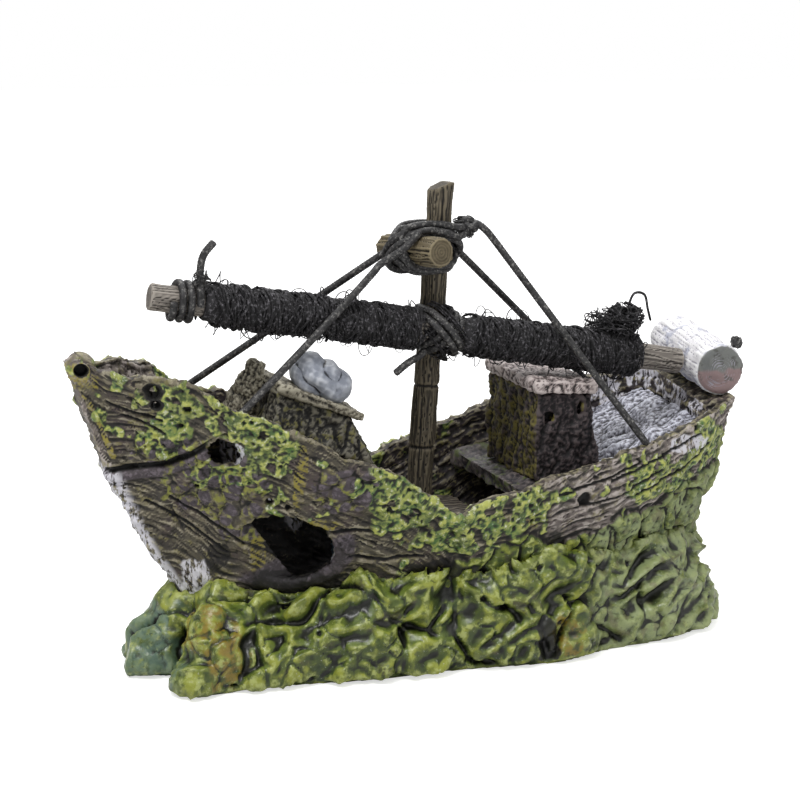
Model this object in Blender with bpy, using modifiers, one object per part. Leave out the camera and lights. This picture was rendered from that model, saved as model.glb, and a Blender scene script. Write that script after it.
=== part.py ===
"""Shipwreck aquarium ornament that bubbles.

A resin hull sits in a mossy rock base. A wooden mast, crosspiece and boom are lashed to it with waxed
cord, and a furled sail of dark fibre is rolled round the boom. Inside the bow an air stone is fed through
an inlet in the starboard side. Metres, +Z up, bow towards -X, port side towards -Y, underside on z = 0.
"""
import math

import bmesh
import bpy
from mathutils import Matrix, Vector

MM = 0.001
GAP = 0.3 * MM
CORNERS = [(-1, -1), (1, -1), (1, 1), (-1, 1)]
COLLECTION = "shipwreck_ornament"

# Hull: the port rim (x, half beam, z) from stem to stern, how much higher or lower the starboard rim lies
# at some x, and the flat bottom that the sides taper down to.
RIM = [(-96.6, 4.5, 83.0), (-93.5, 6.0, 86.0), (-88.0, 9.0, 81.6), (-71.5, 20.0, 82.0), (-61.0, 25.0, 75.8),
       (-48.0, 29.5, 70.5), (-33.0, 33.0, 62.0), (-18.0, 35.0, 56.0), (-9.0, 36.0, 49.4),
       (-2.0, 36.8, 44.0), (7.0, 37.0, 47.3), (24.0, 37.0, 50.6), (42.0, 36.0, 54.8),
       (60.0, 33.3, 58.2), (77.0, 28.0, 62.4), (90.0, 20.5, 66.6)]
STARBOARD_SHIFT = [(-90.0, 0.0), (-76.0, -2.4), (-64.0, -4.8), (-50.0, -2.4), (-34.0, 0.0), (8.0, 0.0),
                   (24.0, 2.6), (40.0, 4.4), (74.0, 4.4), (90.0, 2.6)]
STATIONS_PER_SPAN = 2
HULL_LEVELS = 6
BOTTOM_Z = 14.0
BOTTOM_BOW_X = -64.0
BOTTOM_STERN_X = 76.0
BOTTOM_BOW_HALF = 4.5
BOTTOM_STERN_HALF = 13.0
BOTTOM_SWELL = 16.0
STEM_BULGE = 4.4
SIDE_FLARE = 1.7
WALL = 3.4
CAVITY_START = 0.11
CAVITY_END = 0.965

# Openings in the port bow: centre, half width along X, half height.
BOW_OPENING = (Vector((-44.3, -31.0, 34.6)), 13.4, 9.6, math.radians(8.0))
EYE_OPENING = (Vector((-59.8, -25.0, 62.2)), 4.6, 4.0, math.radians(20.0))
HAWSE_HOLES = [((-92.6, 81.6), 1.7), ((-77.3, 78.2), 2.0), ((-76.2, 74.8), 1.2)]

# Decks: the line (x, z) of the top surface, from bow to stern, and the thickness.
FOREDECK = ([(-78.0, 74.5), (-15.0, 52.4)], 3.0)
MAIN_DECK = ([(-11.0, 30.9), (22.5, 31.2)], 3.6)
AFT_DECK = ([(23.5, 44.5), (52.0, 47.9), (84.0, 63.0)], 3.5)
DECK_REACH = 45.0

# Rock: for each spur round the outline, its foot on the ground (x, y) and its top under the hull (x, y, z).
ROCK = [((-83.5, 2.0), (-62.0, 0.0, 20.0)), ((-80.5, -9.0), (-60.0, -2.0, 21.0)),
        ((-70.0, -14.5), (-57.0, -4.0, 22.0)), ((-72.0, -29.0), (-52.0, -8.0, 24.0)),
        ((-50.0, -29.5), (-40.0, -13.0, 23.5)), ((-24.0, -33.5), (-20.0, -22.0, 28.0)),
        ((-2.0, -34.0), (-1.0, -26.0, 33.0)), ((16.0, -36.5), (15.0, -28.0, 41.0)),
        ((30.0, -37.8), (28.0, -28.0, 44.0)), ((44.0, -33.5), (43.0, -26.0, 36.0)),
        ((64.0, -31.5), (60.0, -22.0, 40.0)), ((79.0, -25.0), (70.0, -15.0, 39.0)),
        ((88.0, -10.0), (73.0, -6.0, 38.0)), ((88.6, 6.0), (73.0, 6.0, 38.0)),
        ((81.0, 22.0), (70.0, 15.0, 38.0)), ((64.0, 32.0), (60.0, 22.0, 38.0)),
        ((44.0, 34.5), (43.0, 27.0, 36.0)), ((18.0, 37.2), (18.0, 28.0, 38.0)),
        ((-8.0, 34.0), (-7.0, 25.0, 32.0)), ((-34.0, 33.0), (-28.0, 18.0, 26.0)),
        ((-60.0, 27.0), (-48.0, 8.0, 23.0)), ((-75.0, 15.0), (-58.0, 3.0, 21.0))]
ROCK_STEPS = [(0.05, 0.0), (0.0, 0.1), (0.16, 0.32), (0.34, 0.58), (0.6, 0.84), (1.0, 1.0)]
ROCK_SPAN_POINTS = 3

# Bow block: a small hatch house that leans with the rim, its plank rim, the boulder and a broken post.
HATCH_TOP = Vector((-32.5, 0.0, 70.7))
HATCH_TOP_SIZE = (23.0, 24.0)
HATCH_FOOT_X = (-46.0, -16.5)
HATCH_FOOT_HALF = 14.0
HATCH_RIM_SIZE = (25.5, 24.0, 2.4)
HATCH_RIM_SHIFT = (0.75, -1.75)
HATCH_TILT = math.radians(23.0)
BOULDER_SIZE = (19.0, 13.5, 12.0)
BOULDER_SHIFT = (1.0, -5.2)
BOULDER_TILT = math.radians(29.0)
POST_FOOT = Vector((-52.2, -1.5, 66.8))
POST_TOP = Vector((-45.8, -2.5, 82.2))
POST_RADII = (5.0, 2.4)

# After cabin and its roof.
CABIN_X = (29.0, 48.5)
CABIN_HALF = 17.5
CABIN_TOP = 70.6
ROOF_THICK = 3.6
WINDOW_SPOTS = [(33.3, 63.4, 2.8, 2.6), (43.0, 66.0, 1.8, 4.0)]
WINDOW_REACH = 8.0

# Wooden sticks: both ends of the axis, and the radius.
MAST = (Vector((0.1, 0.0, 27.4)), Vector((7.4, 0.0, 128.2)), 3.5)
CROSSPIECE = (Vector((1.4, -16.0, 110.8)), Vector((-4.6, 9.8, 109.2)), 4.0)
BOOM = (Vector((-76.0, -8.0, 101.8)), Vector((78.0, -8.0, 75.3)), 3.6)
STERN_LOG = (Vector((86.0, -18.0, 73.7)), Vector((89.4, 18.0, 77.2)), 7.2)
LOG_KNOT_SHIFT = Vector((5.8, 1.6, 7.5))
LOG_KNOT_R = 1.8
# The mast's splintered top: a slanting box cut off it, its size, its place from the top and its slant.
SPLINTER_SIZE = (12.0, 12.0, 6.0)
SPLINTER_SHIFT = Vector((-2.6, 0.0, 1.4))
SPLINTER_TILT = math.radians(-24.0)

# Cord and furled sail.
CORD_R = 1.0
STAY_HOLE_R = 1.5
SAIL_R = 5.7
SAIL_FORE = (14.0, 73.0)
SAIL_AFT = (88.0, 141.0)
SAIL_WAVES = 7.0
SAIL_STEPS = 12
TUFT_HALF = (6.5, 5.0, 4.6)
TUFT_BACK = 3.0
TUFT_RISE = 4.7
SEIZING_AT = 12.6
SEIZING_TURNS = 3
SEIZING_PITCH = 2.3
SEIZING_STEPS = 12
# The loose ends of cord: stops measured from where each one leaves its winding.
SEIZING_TAIL = [(0.3, 0.4, 3.0), (0.5, 1.8, 8.0), (1.5, 2.0, 12.5), (4.5, 2.0, 16.0)]
BOOM_TAIL = [(-1.5, -1.2, -1.6), (-6.0, -2.4, -3.8), (-10.1, -3.0, -6.2)]
AFT_KNOT = Vector((15.2, -0.8, 115.8))
KNOT_R = 2.2
STAYS = {
    "stay_port_fore": [Vector((-56.8, -24.3, 72.6)), Vector((-29.4, -15.4, 94.4)),
                       Vector((-12.6, -7.6, 107.4))],
    "stay_starboard_fore": [Vector((-61.0, 23.0, 70.6)), Vector((-12.4, 2.9, 106.4))],
    "stay_port_aft": [Vector((56.8, -31.9, 56.4)), AFT_KNOT],
    "stay_starboard_aft": [Vector((68.4, 28.6, 61.6)), Vector((15.3, 3.3, 107.0))],
}

# Air line: inlet in the starboard bow, the tube inside, and the stone on the hull's floor.
INLET_AT = Vector((-24.0, 0.0, 33.0))
INLET_HOLE_R = 2.95
INLET_ROOT_R = 2.6
INLET_BODY_R = 2.0
INLET_BARB_R = 2.5
INLET_BORE_R = 1.2
INLET_LENGTH = 15.0
INLET_IN = 22.8
INLET_BARBS = (2.4, 5.0)
INLET_BARB_STEP = 0.2
INLET_SHOULDER = 6.4
AIR_STONE = (Vector((-17.5, 8.0, 17.8)), 4.5, 13.0)
AIR_TUBE_R = 2.2
# The tube's stops: the first two are measured from the inlet's inner end, the rest from the stone's top.
TUBE_FROM_INLET = [(0.0, -0.4, 0.0), (0.0, -5.0, 0.6)]
TUBE_TO_STONE = [(-2.0, 6.0, 6.0), (-0.3, 0.8, 4.4), (0.0, 0.0, 0.0)]


def clear_scene():
    """Empty the file, so that a second run gives the same model."""
    for obj in list(bpy.data.objects):
        bpy.data.objects.remove(obj)
    for group in list(bpy.data.collections):
        bpy.data.collections.remove(group)


def make_collections():
    """One collection for the object's pieces and one for the shapes that cut them."""
    parts = bpy.data.collections.new(COLLECTION)
    cutters = bpy.data.collections.new("cutters")
    for group in (parts, cutters):
        bpy.context.scene.collection.children.link(group)
    return parts, cutters


def make_material(name, colour, roughness, metallic=0.0):
    """A plain Principled material."""
    mat = bpy.data.materials.new(name)
    mat.use_nodes = True
    shader = mat.node_tree.nodes["Principled BSDF"]
    shader.inputs["Base Color"].default_value = (*colour, 1.0)
    shader.inputs["Roughness"].default_value = roughness
    shader.inputs["Metallic"].default_value = metallic
    mat.diffuse_color = (*colour, 1.0)
    return mat


def add_object(name, data, group, mat=None):
    """Link new data as an object of the given collection."""
    obj = bpy.data.objects.new(name, data)
    group.objects.link(obj)
    if mat:
        data.materials.append(mat)
    return obj


def mesh_from_bmesh(name, bm):
    """Turn a bmesh into mesh data with its faces pointing out."""
    bmesh.ops.recalc_face_normals(bm, faces=bm.faces)
    mesh = bpy.data.meshes.new(name)
    bm.to_mesh(mesh)
    bm.free()
    return mesh


def loft(name, rings, group, mat=None, sharp=40.0):
    """A closed skin over rings of equal length in millimetres, with a face at each end."""
    bm = bmesh.new()
    rows = [[bm.verts.new(Vector(p) * MM) for p in ring] for ring in rings]
    count = len(rows[0])
    for lower, upper in zip(rows, rows[1:]):
        for i in range(count):
            j = (i + 1) % count
            bm.faces.new((lower[i], lower[j], upper[j], upper[i]))
    for end in (rows[0], rows[-1]):
        bm.faces.new(end)
    bmesh.ops.triangulate(bm, faces=bm.faces, quad_method="FIXED")
    obj = add_object(name, mesh_from_bmesh(name, bm), group, mat)
    smooth(obj, sharp)
    return obj


def smooth(obj, angle):
    """Shade round surfaces smooth and keep edges sharper than the angle, in degrees."""
    obj.data.shade_smooth()
    obj.data.set_sharp_from_angle(angle=math.radians(angle))


def box(name, size, centre, group, mat=None, tilt=0.0):
    """A box of the given size in millimetres, tilted about the Y axis."""
    bm = bmesh.new()
    bmesh.ops.create_cube(bm, size=1.0, matrix=Matrix.Diagonal((*(Vector(size) * MM), 1.0)))
    obj = add_object(name, mesh_from_bmesh(name, bm), group, mat)
    obj.location = Vector(centre) * MM
    obj.rotation_euler = (0.0, tilt, 0.0)
    return obj


def cylinder(name, start, end, radius, group, mat=None, sides=24, end_radius=None):
    """A round bar between two points in millimetres."""
    start, end = Vector(start), Vector(end)
    bm = bmesh.new()
    turn = (end - start).to_track_quat("Z", "Y").to_matrix().to_4x4()
    place = Matrix.Translation((start + end) / 2 * MM) @ turn
    bmesh.ops.create_cone(bm, cap_ends=True, segments=sides, radius1=radius * MM,
                          radius2=(end_radius or radius) * MM, depth=(end - start).length * MM)
    obj = add_object(name, mesh_from_bmesh(name, bm), group, mat)
    obj.matrix_world = place
    smooth(obj, 40.0)
    return obj


def turned(name, outline, steps, group, mat):
    """A solid turned about Z from a closed outline of (radius, z) points in millimetres."""
    mesh = bpy.data.meshes.new(name)
    count = len(outline)
    mesh.from_pydata([(r * MM, 0.0, z * MM) for r, z in outline],
                     [(i, (i + 1) % count) for i in range(count)], [])
    obj = add_object(name, mesh, group, mat)
    screw = obj.modifiers.new("turn", "SCREW")
    screw.steps = screw.render_steps = steps
    screw.use_merge_vertices = True
    screw.merge_threshold = 0.00001
    return obj


def boolean(obj, cutter, operation="DIFFERENCE"):
    """Cut or join with another object, which is then hidden as a cutter."""
    mod = obj.modifiers.new(operation.lower(), "BOOLEAN")
    mod.operation = operation
    mod.solver = "EXACT"
    mod.object = cutter
    cutter.hide_render = True
    cutter.display_type = "WIRE"


def bevel(obj, width, segments=2):
    """Rounded edges."""
    mod = obj.modifiers.new("bevel", "BEVEL")
    mod.width = width * MM
    mod.segments = segments
    mod.limit_method = "ANGLE"
    mod.angle_limit = math.radians(40.0)


def catmull_rom(points, per_span, closed=False):
    """Points of a smooth curve through the given ones, with per_span points to each span."""
    points = [Vector(p) for p in points]
    count = len(points)
    spans = count if closed else count - 1
    out = []
    for i in range(spans):
        if closed:
            a, b, c, d = (points[(i + k) % count] for k in (-1, 0, 1, 2))
        else:
            a, b, c, d = (points[min(max(i + k, 0), count - 1)] for k in (-1, 0, 1, 2))
        for k in range(per_span):
            t = k / per_span
            out.append(0.5 * (2 * b + (c - a) * t + (2 * a - 5 * b + 4 * c - d) * t * t
                              + (3 * b - 3 * c + d - a) * t ** 3))
    return out if closed else out + [points[-1]]


def tube(name, points, radius, group, mat, cyclic=False):
    """A round cord through points in millimetres."""
    curve = bpy.data.curves.new(name, "CURVE")
    curve.dimensions = "3D"
    curve.bevel_depth = radius * MM
    curve.bevel_resolution = 2
    curve.use_fill_caps = not cyclic
    spline = curve.splines.new("POLY")
    spline.points.add(len(points) - 1)
    for knot, p in zip(spline.points, points):
        knot.co = (*(Vector(p) * MM), 1.0)
    spline.use_cyclic_u = cyclic
    return add_object(name, curve, group, mat)


RIM_CURVE = catmull_rom(RIM, STATIONS_PER_SPAN)


def height_on(line, x):
    """The height at x of a line through (x, z) points, level beyond its ends."""
    for (x0, z0), (x1, z1) in zip(line, line[1:]):
        if x <= x1:
            return z0 + (z1 - z0) * max(x - x0, 0.0) / (x1 - x0)
    return line[-1][1]


def rim_height(rim, side):
    """The rim's height; the starboard rim is lower in the bow and higher aft."""
    return rim.z + (height_on(STARBOARD_SHIFT, rim.x) if side > 0 else 0.0)


def hull_point(station, level, inset, side):
    """A point of a side, -1 port or 1 starboard: station 0 is the stem and 1 the stern, level 0 the bottom
    and 1 the rim."""
    place = station * (len(RIM_CURVE) - 1)
    index = min(max(int(place), 0), len(RIM_CURVE) - 2)
    rim = RIM_CURVE[index].lerp(RIM_CURVE[index + 1], place - index)
    rise = rim_height(rim, side) - BOTTOM_Z
    level += (1 - level) * inset / rise
    bottom_x = BOTTOM_BOW_X + (BOTTOM_STERN_X - BOTTOM_BOW_X) * station
    middle = min(max(station, 0.0), 1.0)
    bottom_half = (BOTTOM_BOW_HALF + (BOTTOM_STERN_HALF - BOTTOM_BOW_HALF) * middle
                   + BOTTOM_SWELL * math.sin(math.pi * middle) ** 0.8)
    bulge = STEM_BULGE * (1 - middle) ** 6 * math.sin(math.pi * max(level, 0.0) ** 0.85)
    flare = 1 - max(1 - level, 0.0) ** SIDE_FLARE
    half = bottom_half + (rim.y - bottom_half) * flare
    return Vector((bottom_x + (rim.x - bottom_x) * level - bulge,
                   side * max(half - inset, 0.8),
                   BOTTOM_Z + rise * level))


def hull_form(name, group, inset=0.0, lift=0.0, start=0.0, end=1.0, mat=None):
    """The hull's closed outer form moved inwards by inset, between two stations, carried up by lift."""
    stations = [start + (end - start) * i / (len(RIM_CURVE) - 1) for i in range(len(RIM_CURVE))]
    top = 1.04 if lift else 1.0
    rings = []
    for station in stations:
        port, starboard = ([hull_point(station, top * i / HULL_LEVELS, inset, side)
                            for i in range(HULL_LEVELS + 1)] for side in (-1, 1))
        if lift:
            port.append(port[-1] + Vector((0, 0, lift)))
            starboard.append(starboard[-1] + Vector((0, 0, lift)))
        rings.append(port[::-1] + starboard)
    return loft(name, rings, group, mat, sharp=50.0)


def elliptic_cutter(name, centre, half_x, half_z, turn, cutters, reach=16.0):
    """An oval bar across the hull's side, along Y."""
    obj = cylinder(name, (0, -reach, 0), (0, reach, 0), 1.0, cutters, sides=20)
    bm = bmesh.new()
    bm.from_mesh(obj.data)
    bmesh.ops.scale(bm, verts=bm.verts, vec=(half_x, half_z, 1.0))
    bm.to_mesh(obj.data)
    bm.free()
    across = Matrix.Rotation(math.radians(90.0), 4, "X")
    obj.matrix_world = Matrix.Translation(centre * MM) @ Matrix.Rotation(turn, 4, "Y") @ across
    return obj


def make_hull(parts, cutters, mats):
    """The hull shell: outer form less the cavity, with its openings, stay holes and the inlet's hole."""
    hull = hull_form("hull_shell", parts, mat=mats["hull"])
    cavity = hull_form("hull_cavity", cutters, inset=WALL, lift=20.0, start=CAVITY_START, end=CAVITY_END)
    boolean(hull, cavity)
    for name, spec in (("bow_opening_cut", BOW_OPENING), ("eye_opening_cut", EYE_OPENING)):
        boolean(hull, elliptic_cutter(name, *spec, cutters))
    for i, ((x, z), radius) in enumerate(HAWSE_HOLES):
        boolean(hull, cylinder(f"hawse_cut_{i}", (x, -40, z), (x, -2.5, z), radius, cutters, sides=12))
    for name, stops in STAYS.items():
        boolean(hull, stay_hole(name, stops[0], cutters))
    inner = INLET_AT + Vector((0, 5, 0))
    outer = INLET_AT + Vector((0, 45, 0))
    boolean(hull, cylinder("inlet_cut", inner, outer, INLET_HOLE_R, cutters, sides=16))


def stay_route(name):
    """A stay's centre line from its foot in the rim to the masthead."""
    *stops, head = STAYS[name]
    if head == AFT_KNOT:
        head = head + (stops[-1] - head).normalized() * (KNOT_R + GAP / MM)
    return catmull_rom([*stops, head], 5)


def stay_hole(name, foot, cutters):
    """The blind hole in the rim that a stay's foot is glued in."""
    route = stay_route(name)
    along = (route[1] - route[0]).normalized()
    return cylinder(name + "_hole", foot - along * 0.4, foot + along * 12.0, STAY_HOLE_R, cutters, sides=12)


def make_deck(name, spec, parts, cutters, mat):
    """A deck: a sloping slab trimmed to the inside of the hull."""
    line, thick = spec
    ring = line + [(x, z - thick) for x, z in line[::-1]]
    deck = loft(name, [[(x, y, z) for x, z in ring] for y in (-DECK_REACH, DECK_REACH)], parts, mat)
    inside = hull_form(name + "_trim", cutters, inset=WALL + GAP / MM, lift=20.0,
                       start=CAVITY_START + 0.004, end=CAVITY_END - 0.004)
    boolean(deck, inside, "INTERSECT")
    return deck


def make_decks(parts, cutters, mats):
    """Three decks; the main deck holds the mast's foot."""
    make_deck("foredeck", FOREDECK, parts, cutters, mats["deck"])
    main = make_deck("main_deck", MAIN_DECK, parts, cutters, mats["deck"])
    foot, top, radius = MAST
    boolean(main, cylinder("mast_hole", foot - (top - foot) * 0.1, foot + (top - foot) * 0.1,
                           radius + 0.4, cutters))
    make_deck("aft_deck", AFT_DECK, parts, cutters, mats["aft"])


def make_rock(parts, cutters, mats):
    """The rock: flat underneath, climbing in steps to the hull, whose seat is cut out of it."""
    feet = catmull_rom([(x, y, 0.0) for (x, y), _ in ROCK], ROCK_SPAN_POINTS, closed=True)
    tops = catmull_rom([top for _, top in ROCK], ROCK_SPAN_POINTS, closed=True)
    rings = []
    for inward, rise in ROCK_STEPS:
        ring = [foot.lerp(top, inward) for foot, top in zip(feet, tops)]
        rings.append([(p.x, p.y, top.z * rise) for p, top in zip(ring, tops)])
    rock = loft("rock_base", rings, parts, mats["rock"], sharp=60.0)
    seat = hull_form("hull_seat", cutters, inset=-GAP / MM, lift=30.0, start=-0.004, end=1.004)
    boolean(rock, seat)


def rock_lump(name, centre, size, group, mat=None):
    """A round stone of the given size, leaning aft."""
    bm = bmesh.new()
    bmesh.ops.create_uvsphere(bm, u_segments=20, v_segments=12, radius=0.5 * MM)
    bmesh.ops.scale(bm, verts=bm.verts, vec=size)
    lump = add_object(name, mesh_from_bmesh(name, bm), group, mat)
    lump.location = centre * MM
    lump.rotation_euler = (0.0, BOULDER_TILT, 0.0)
    smooth(lump, 60.0)
    return lump


def make_hatch(parts, cutters, mats):
    """The bow block, its plank rim, the boulder that sits in it and the broken post before it."""
    lean = Matrix.Rotation(HATCH_TILT, 3, "Y")
    half_x, half_y = (side / 2 for side in HATCH_TOP_SIZE)
    top = [HATCH_TOP + lean @ Vector((sx * half_x, sy * half_y, 0)) for sx, sy in CORNERS]
    foot = [Vector((x, sy * HATCH_FOOT_HALF, height_on(FOREDECK[0], x) + 0.5))
            for x, (_, sy) in zip((*HATCH_FOOT_X, *HATCH_FOOT_X[::-1]), CORNERS)]
    bevel(loft("hatch_house", [foot, top], parts, mats["hatch"]), 0.8)
    rim_at = HATCH_TOP + lean @ Vector((*HATCH_RIM_SHIFT, HATCH_RIM_SIZE[2] / 2 + GAP / MM))
    rim = box("hatch_rim", HATCH_RIM_SIZE, rim_at, parts, mats["hatch_rim"], HATCH_TILT)
    bevel(rim, 0.6)
    boulder_at = HATCH_TOP + lean @ Vector((*BOULDER_SHIFT, BOULDER_SIZE[2] / 2 + 0.8))
    rock_lump("hatch_boulder", boulder_at, BOULDER_SIZE, parts, mats["boulder"])
    hollow = [side + 1.0 for side in BOULDER_SIZE]
    boolean(rim, rock_lump("boulder_hollow", boulder_at, hollow, cutters))
    cylinder("broken_post", POST_FOOT, POST_TOP, POST_RADII[0], parts, mats["hatch"], 10, POST_RADII[1])


def make_cabin(parts, cutters, mats):
    """The after cabin standing on the aft deck, with its two port windows, and its worn roof."""
    x0, x1 = CABIN_X
    deck_z = [height_on(AFT_DECK[0], x) + GAP / MM for x in (x0, x1)]
    half = CABIN_HALF
    lower = [(x0, -half, deck_z[0]), (x1, -half, deck_z[1]), (x1, half, deck_z[1]), (x0, half, deck_z[0])]
    upper = [(x0 + 0.5, 1 - half, CABIN_TOP), (x1 - 2, 1 - half, CABIN_TOP - 1.5),
             (x1 - 2, half - 1, CABIN_TOP - 1.5), (x0 + 0.5, half - 1, CABIN_TOP)]
    cabin = loft("aft_cabin", [lower, upper], parts, mats["cabin"])
    bevel(cabin, 0.8)
    for i, (x, z, width, height) in enumerate(WINDOW_SPOTS):
        boolean(cabin, box(f"window_cut_{i}", (width, WINDOW_REACH, height), (x, -half, z), cutters))
    lift = Vector((0, 0, 0.3))
    under = [Vector(p) + lift for p in upper]
    centre = sum(under, Vector()) / 4
    wide = [centre + Vector(((p.x - centre.x) * 1.14, (p.y - centre.y) * 1.1, p.z - centre.z))
            for p in under]
    crown = [p + Vector((0, 0, ROOF_THICK)) for p in wide]
    roof = loft("cabin_roof", [wide, crown], parts, mats["roof"])
    bevel(roof, 1.1)


def make_sticks(parts, cutters, mats):
    """Mast, crosspiece, boom and stern log."""
    foot, top, radius = MAST
    mast = cylinder("mast", foot, top, radius, parts, mats["mast"])
    splinter = box("mast_top_cut", SPLINTER_SIZE, top + SPLINTER_SHIFT, cutters, tilt=SPLINTER_TILT)
    boolean(mast, splinter)
    start, end, radius = CROSSPIECE
    bevel(cylinder("mast_crosspiece", start, end, radius, parts, mats["crosspiece"]), 0.5)
    start, end, radius = BOOM
    bevel(cylinder("boom", start, end, radius, parts, mats["boom"]), 0.4)
    start, end, radius = STERN_LOG
    bevel(cylinder("stern_log", start, end, radius, parts, mats["log"], sides=28), 1.4, 3)
    ball("log_knot", start + LOG_KNOT_SHIFT, LOG_KNOT_R, parts, mats["cord"])


def ball(name, centre, radius, group, mat):
    """A knot drawn up tight."""
    bm = bmesh.new()
    bmesh.ops.create_uvsphere(bm, u_segments=12, v_segments=8, radius=radius * MM)
    obj = add_object(name, mesh_from_bmesh(name, bm), group, mat)
    obj.location = Vector(centre) * MM
    smooth(obj, 60.0)
    return obj


def sleeve(name, begin, end, group, mat):
    """A roll of sail on the boom between two distances from its fore end, uneven in thickness."""
    start, stop, stick = BOOM
    axis = (stop - start).normalized()
    inner = stick + GAP / MM
    outline = [(inner, begin), (inner, end)]
    for i in range(SAIL_STEPS + 1):
        t = i / SAIL_STEPS
        swell = 0.5 * math.sin(SAIL_WAVES * t + begin) - 0.7 * abs(2 * t - 1) ** 6
        outline.append((SAIL_R - 0.5 + swell, end + (begin - end) * t))
    obj = turned(name, outline, 18, group, mat)
    obj.matrix_world = Matrix.Translation(start * MM) @ axis.to_track_quat("Z", "Y").to_matrix().to_4x4()


def boom_point(distance, height=0.0, out=0.0):
    """A place on the boom's axis, raised and moved to port."""
    start, end, _ = BOOM
    return start + (end - start).normalized() * distance + Vector((0, -out, height))


def make_sail(parts, mats):
    """Two rolls of furled sail and the tuft that stands up at the after end."""
    sleeve("furled_sail_fore", *SAIL_FORE, parts, mats["sail"])
    sleeve("furled_sail_aft", *SAIL_AFT, parts, mats["sail"])
    bm = bmesh.new()
    bmesh.ops.create_icosphere(bm, subdivisions=2, radius=1.0 * MM)
    bmesh.ops.scale(bm, verts=bm.verts, vec=TUFT_HALF)
    tuft = add_object("sail_tuft", mesh_from_bmesh("sail_tuft", bm), parts, mats["sail"])
    tuft.location = boom_point(SAIL_AFT[1] - TUFT_BACK, SAIL_R + TUFT_RISE) * MM
    smooth(tuft, 60.0)


def lashing_loop(stick_a, stick_b, side, over=0.0, count=26):
    """A diagonal loop of cord round two crossed sticks, on diagonal +1 or -1, over another by so much."""
    close = CORD_R + 0.6
    (a0, a1, ra), (b0, b1, rb) = stick_a, stick_b
    da, db = (a1 - a0).normalized(), (b1 - b0).normalized()
    across = da.cross(db).normalized()
    gap = (b0 - a0).dot(across)
    if gap < 0:
        across, gap = -across, -gap
    near_a = nearest_point(a0, da, b0, db)
    diagonal = (da + side * db).normalized()
    normal = across.cross(diagonal)
    widths = [(ra, ra / abs(da.dot(normal))), (rb, rb / abs(db.dot(normal)))]
    points = []
    for i in range(count):
        angle = 2 * math.pi * i / count
        c, s = math.cos(angle), math.sin(angle)
        clearance = close + over * c ** 4
        best = None
        for offset, (w, u) in zip((0.0, gap), widths):
            size = math.hypot(w * c, u * s)
            reach = offset * c + size
            if best is None or reach > best[0]:
                best = (reach, offset + w * w * c / size + clearance * c, u * u * s / size + clearance * s)
        points.append(near_a + across * best[1] + diagonal * best[2])
    return points


def nearest_point(a0, da, b0, db):
    """The point of line a nearest to line b."""
    k = da.dot(db)
    w = a0 - b0
    return a0 + da * ((k * db.dot(w) - da.dot(w)) / (1 - k * k))


def make_rigging(parts, mats):
    """Stays, knots, lashings and the seizing on the boom's fore end, all of waxed cord."""
    cord = mats["cord"]
    for name in STAYS:
        tube(name, stay_route(name), CORD_R, parts, cord)
    ball("masthead_knot", AFT_KNOT, KNOT_R, parts, cord)
    over = 2 * CORD_R + 0.5
    for place, sticks in (("masthead", (CROSSPIECE, MAST)), ("boom", (BOOM, MAST))):
        tube(f"{place}_lashing_under", lashing_loop(*sticks, 1), CORD_R, parts, cord, cyclic=True)
        tube(f"{place}_lashing_over", lashing_loop(*sticks, -1, over), CORD_R, parts, cord, cyclic=True)
    coil = seizing_coil()
    tail = [coil[-1] + Vector(stop) for stop in SEIZING_TAIL]
    tube("fore_seizing", coil + tail, CORD_R, parts, cord)
    lowest = min(lashing_loop(BOOM, MAST, 1), key=lambda p: p.x)
    tail = catmull_rom([lowest + Vector(stop) for stop in BOOM_TAIL], 3)
    tube("boom_lashing_tail", tail, CORD_R, parts, cord)


def seizing_coil():
    """The turns of cord round the boom's fore end."""
    start, end, stick = BOOM
    axis = (end - start).normalized()
    out = Vector((0, -1, 0))
    up = axis.cross(out)
    radius = stick + CORD_R + GAP / MM
    coil = []
    for i in range(SEIZING_STEPS * SEIZING_TURNS + 1):
        turn = i / SEIZING_STEPS
        angle = 2 * math.pi * turn
        along = SEIZING_AT + SEIZING_PITCH * (turn - SEIZING_TURNS)
        coil.append(start + axis * along + (out * math.cos(angle) + up * math.sin(angle)) * radius)
    return coil


def make_air_line(parts, cutters, mats):
    """The barbed inlet in the starboard bow, the tube inside the hull and the air stone it feeds."""
    foot, radius, height = AIR_STONE
    stone = cylinder("air_stone", foot, foot + Vector((0, 0, height)), radius, parts, mats["stone"], 20)
    bevel(stone, 0.8)
    shoulder = INLET_LENGTH - INLET_SHOULDER
    outline = [(INLET_BORE_R, INLET_LENGTH), (INLET_BODY_R, INLET_LENGTH)]
    for back in INLET_BARBS:
        barb = INLET_LENGTH - back
        outline += [(INLET_BARB_R, barb), (INLET_BODY_R, barb - INLET_BARB_STEP)]
    outline += [(INLET_BODY_R, shoulder), (INLET_ROOT_R, shoulder), (INLET_ROOT_R, 0.0), (INLET_BORE_R, 0.0)]
    inlet = turned("air_inlet", outline, 20, parts, mats["plastic"])
    inner_end = INLET_AT + Vector((0, INLET_IN, 0))
    inlet.matrix_world = (Matrix.Translation(inner_end * MM)
                          @ Matrix.Rotation(math.radians(-90.0), 4, "X"))
    top = foot + Vector((0, 0, height + GAP / MM))
    stops = [inner_end + Vector(stop) for stop in TUBE_FROM_INLET]
    stops += [top + Vector(stop) for stop in TUBE_TO_STONE]
    tube("air_tube", catmull_rom(stops, 4), AIR_TUBE_R, parts, mats["plastic"])


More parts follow.
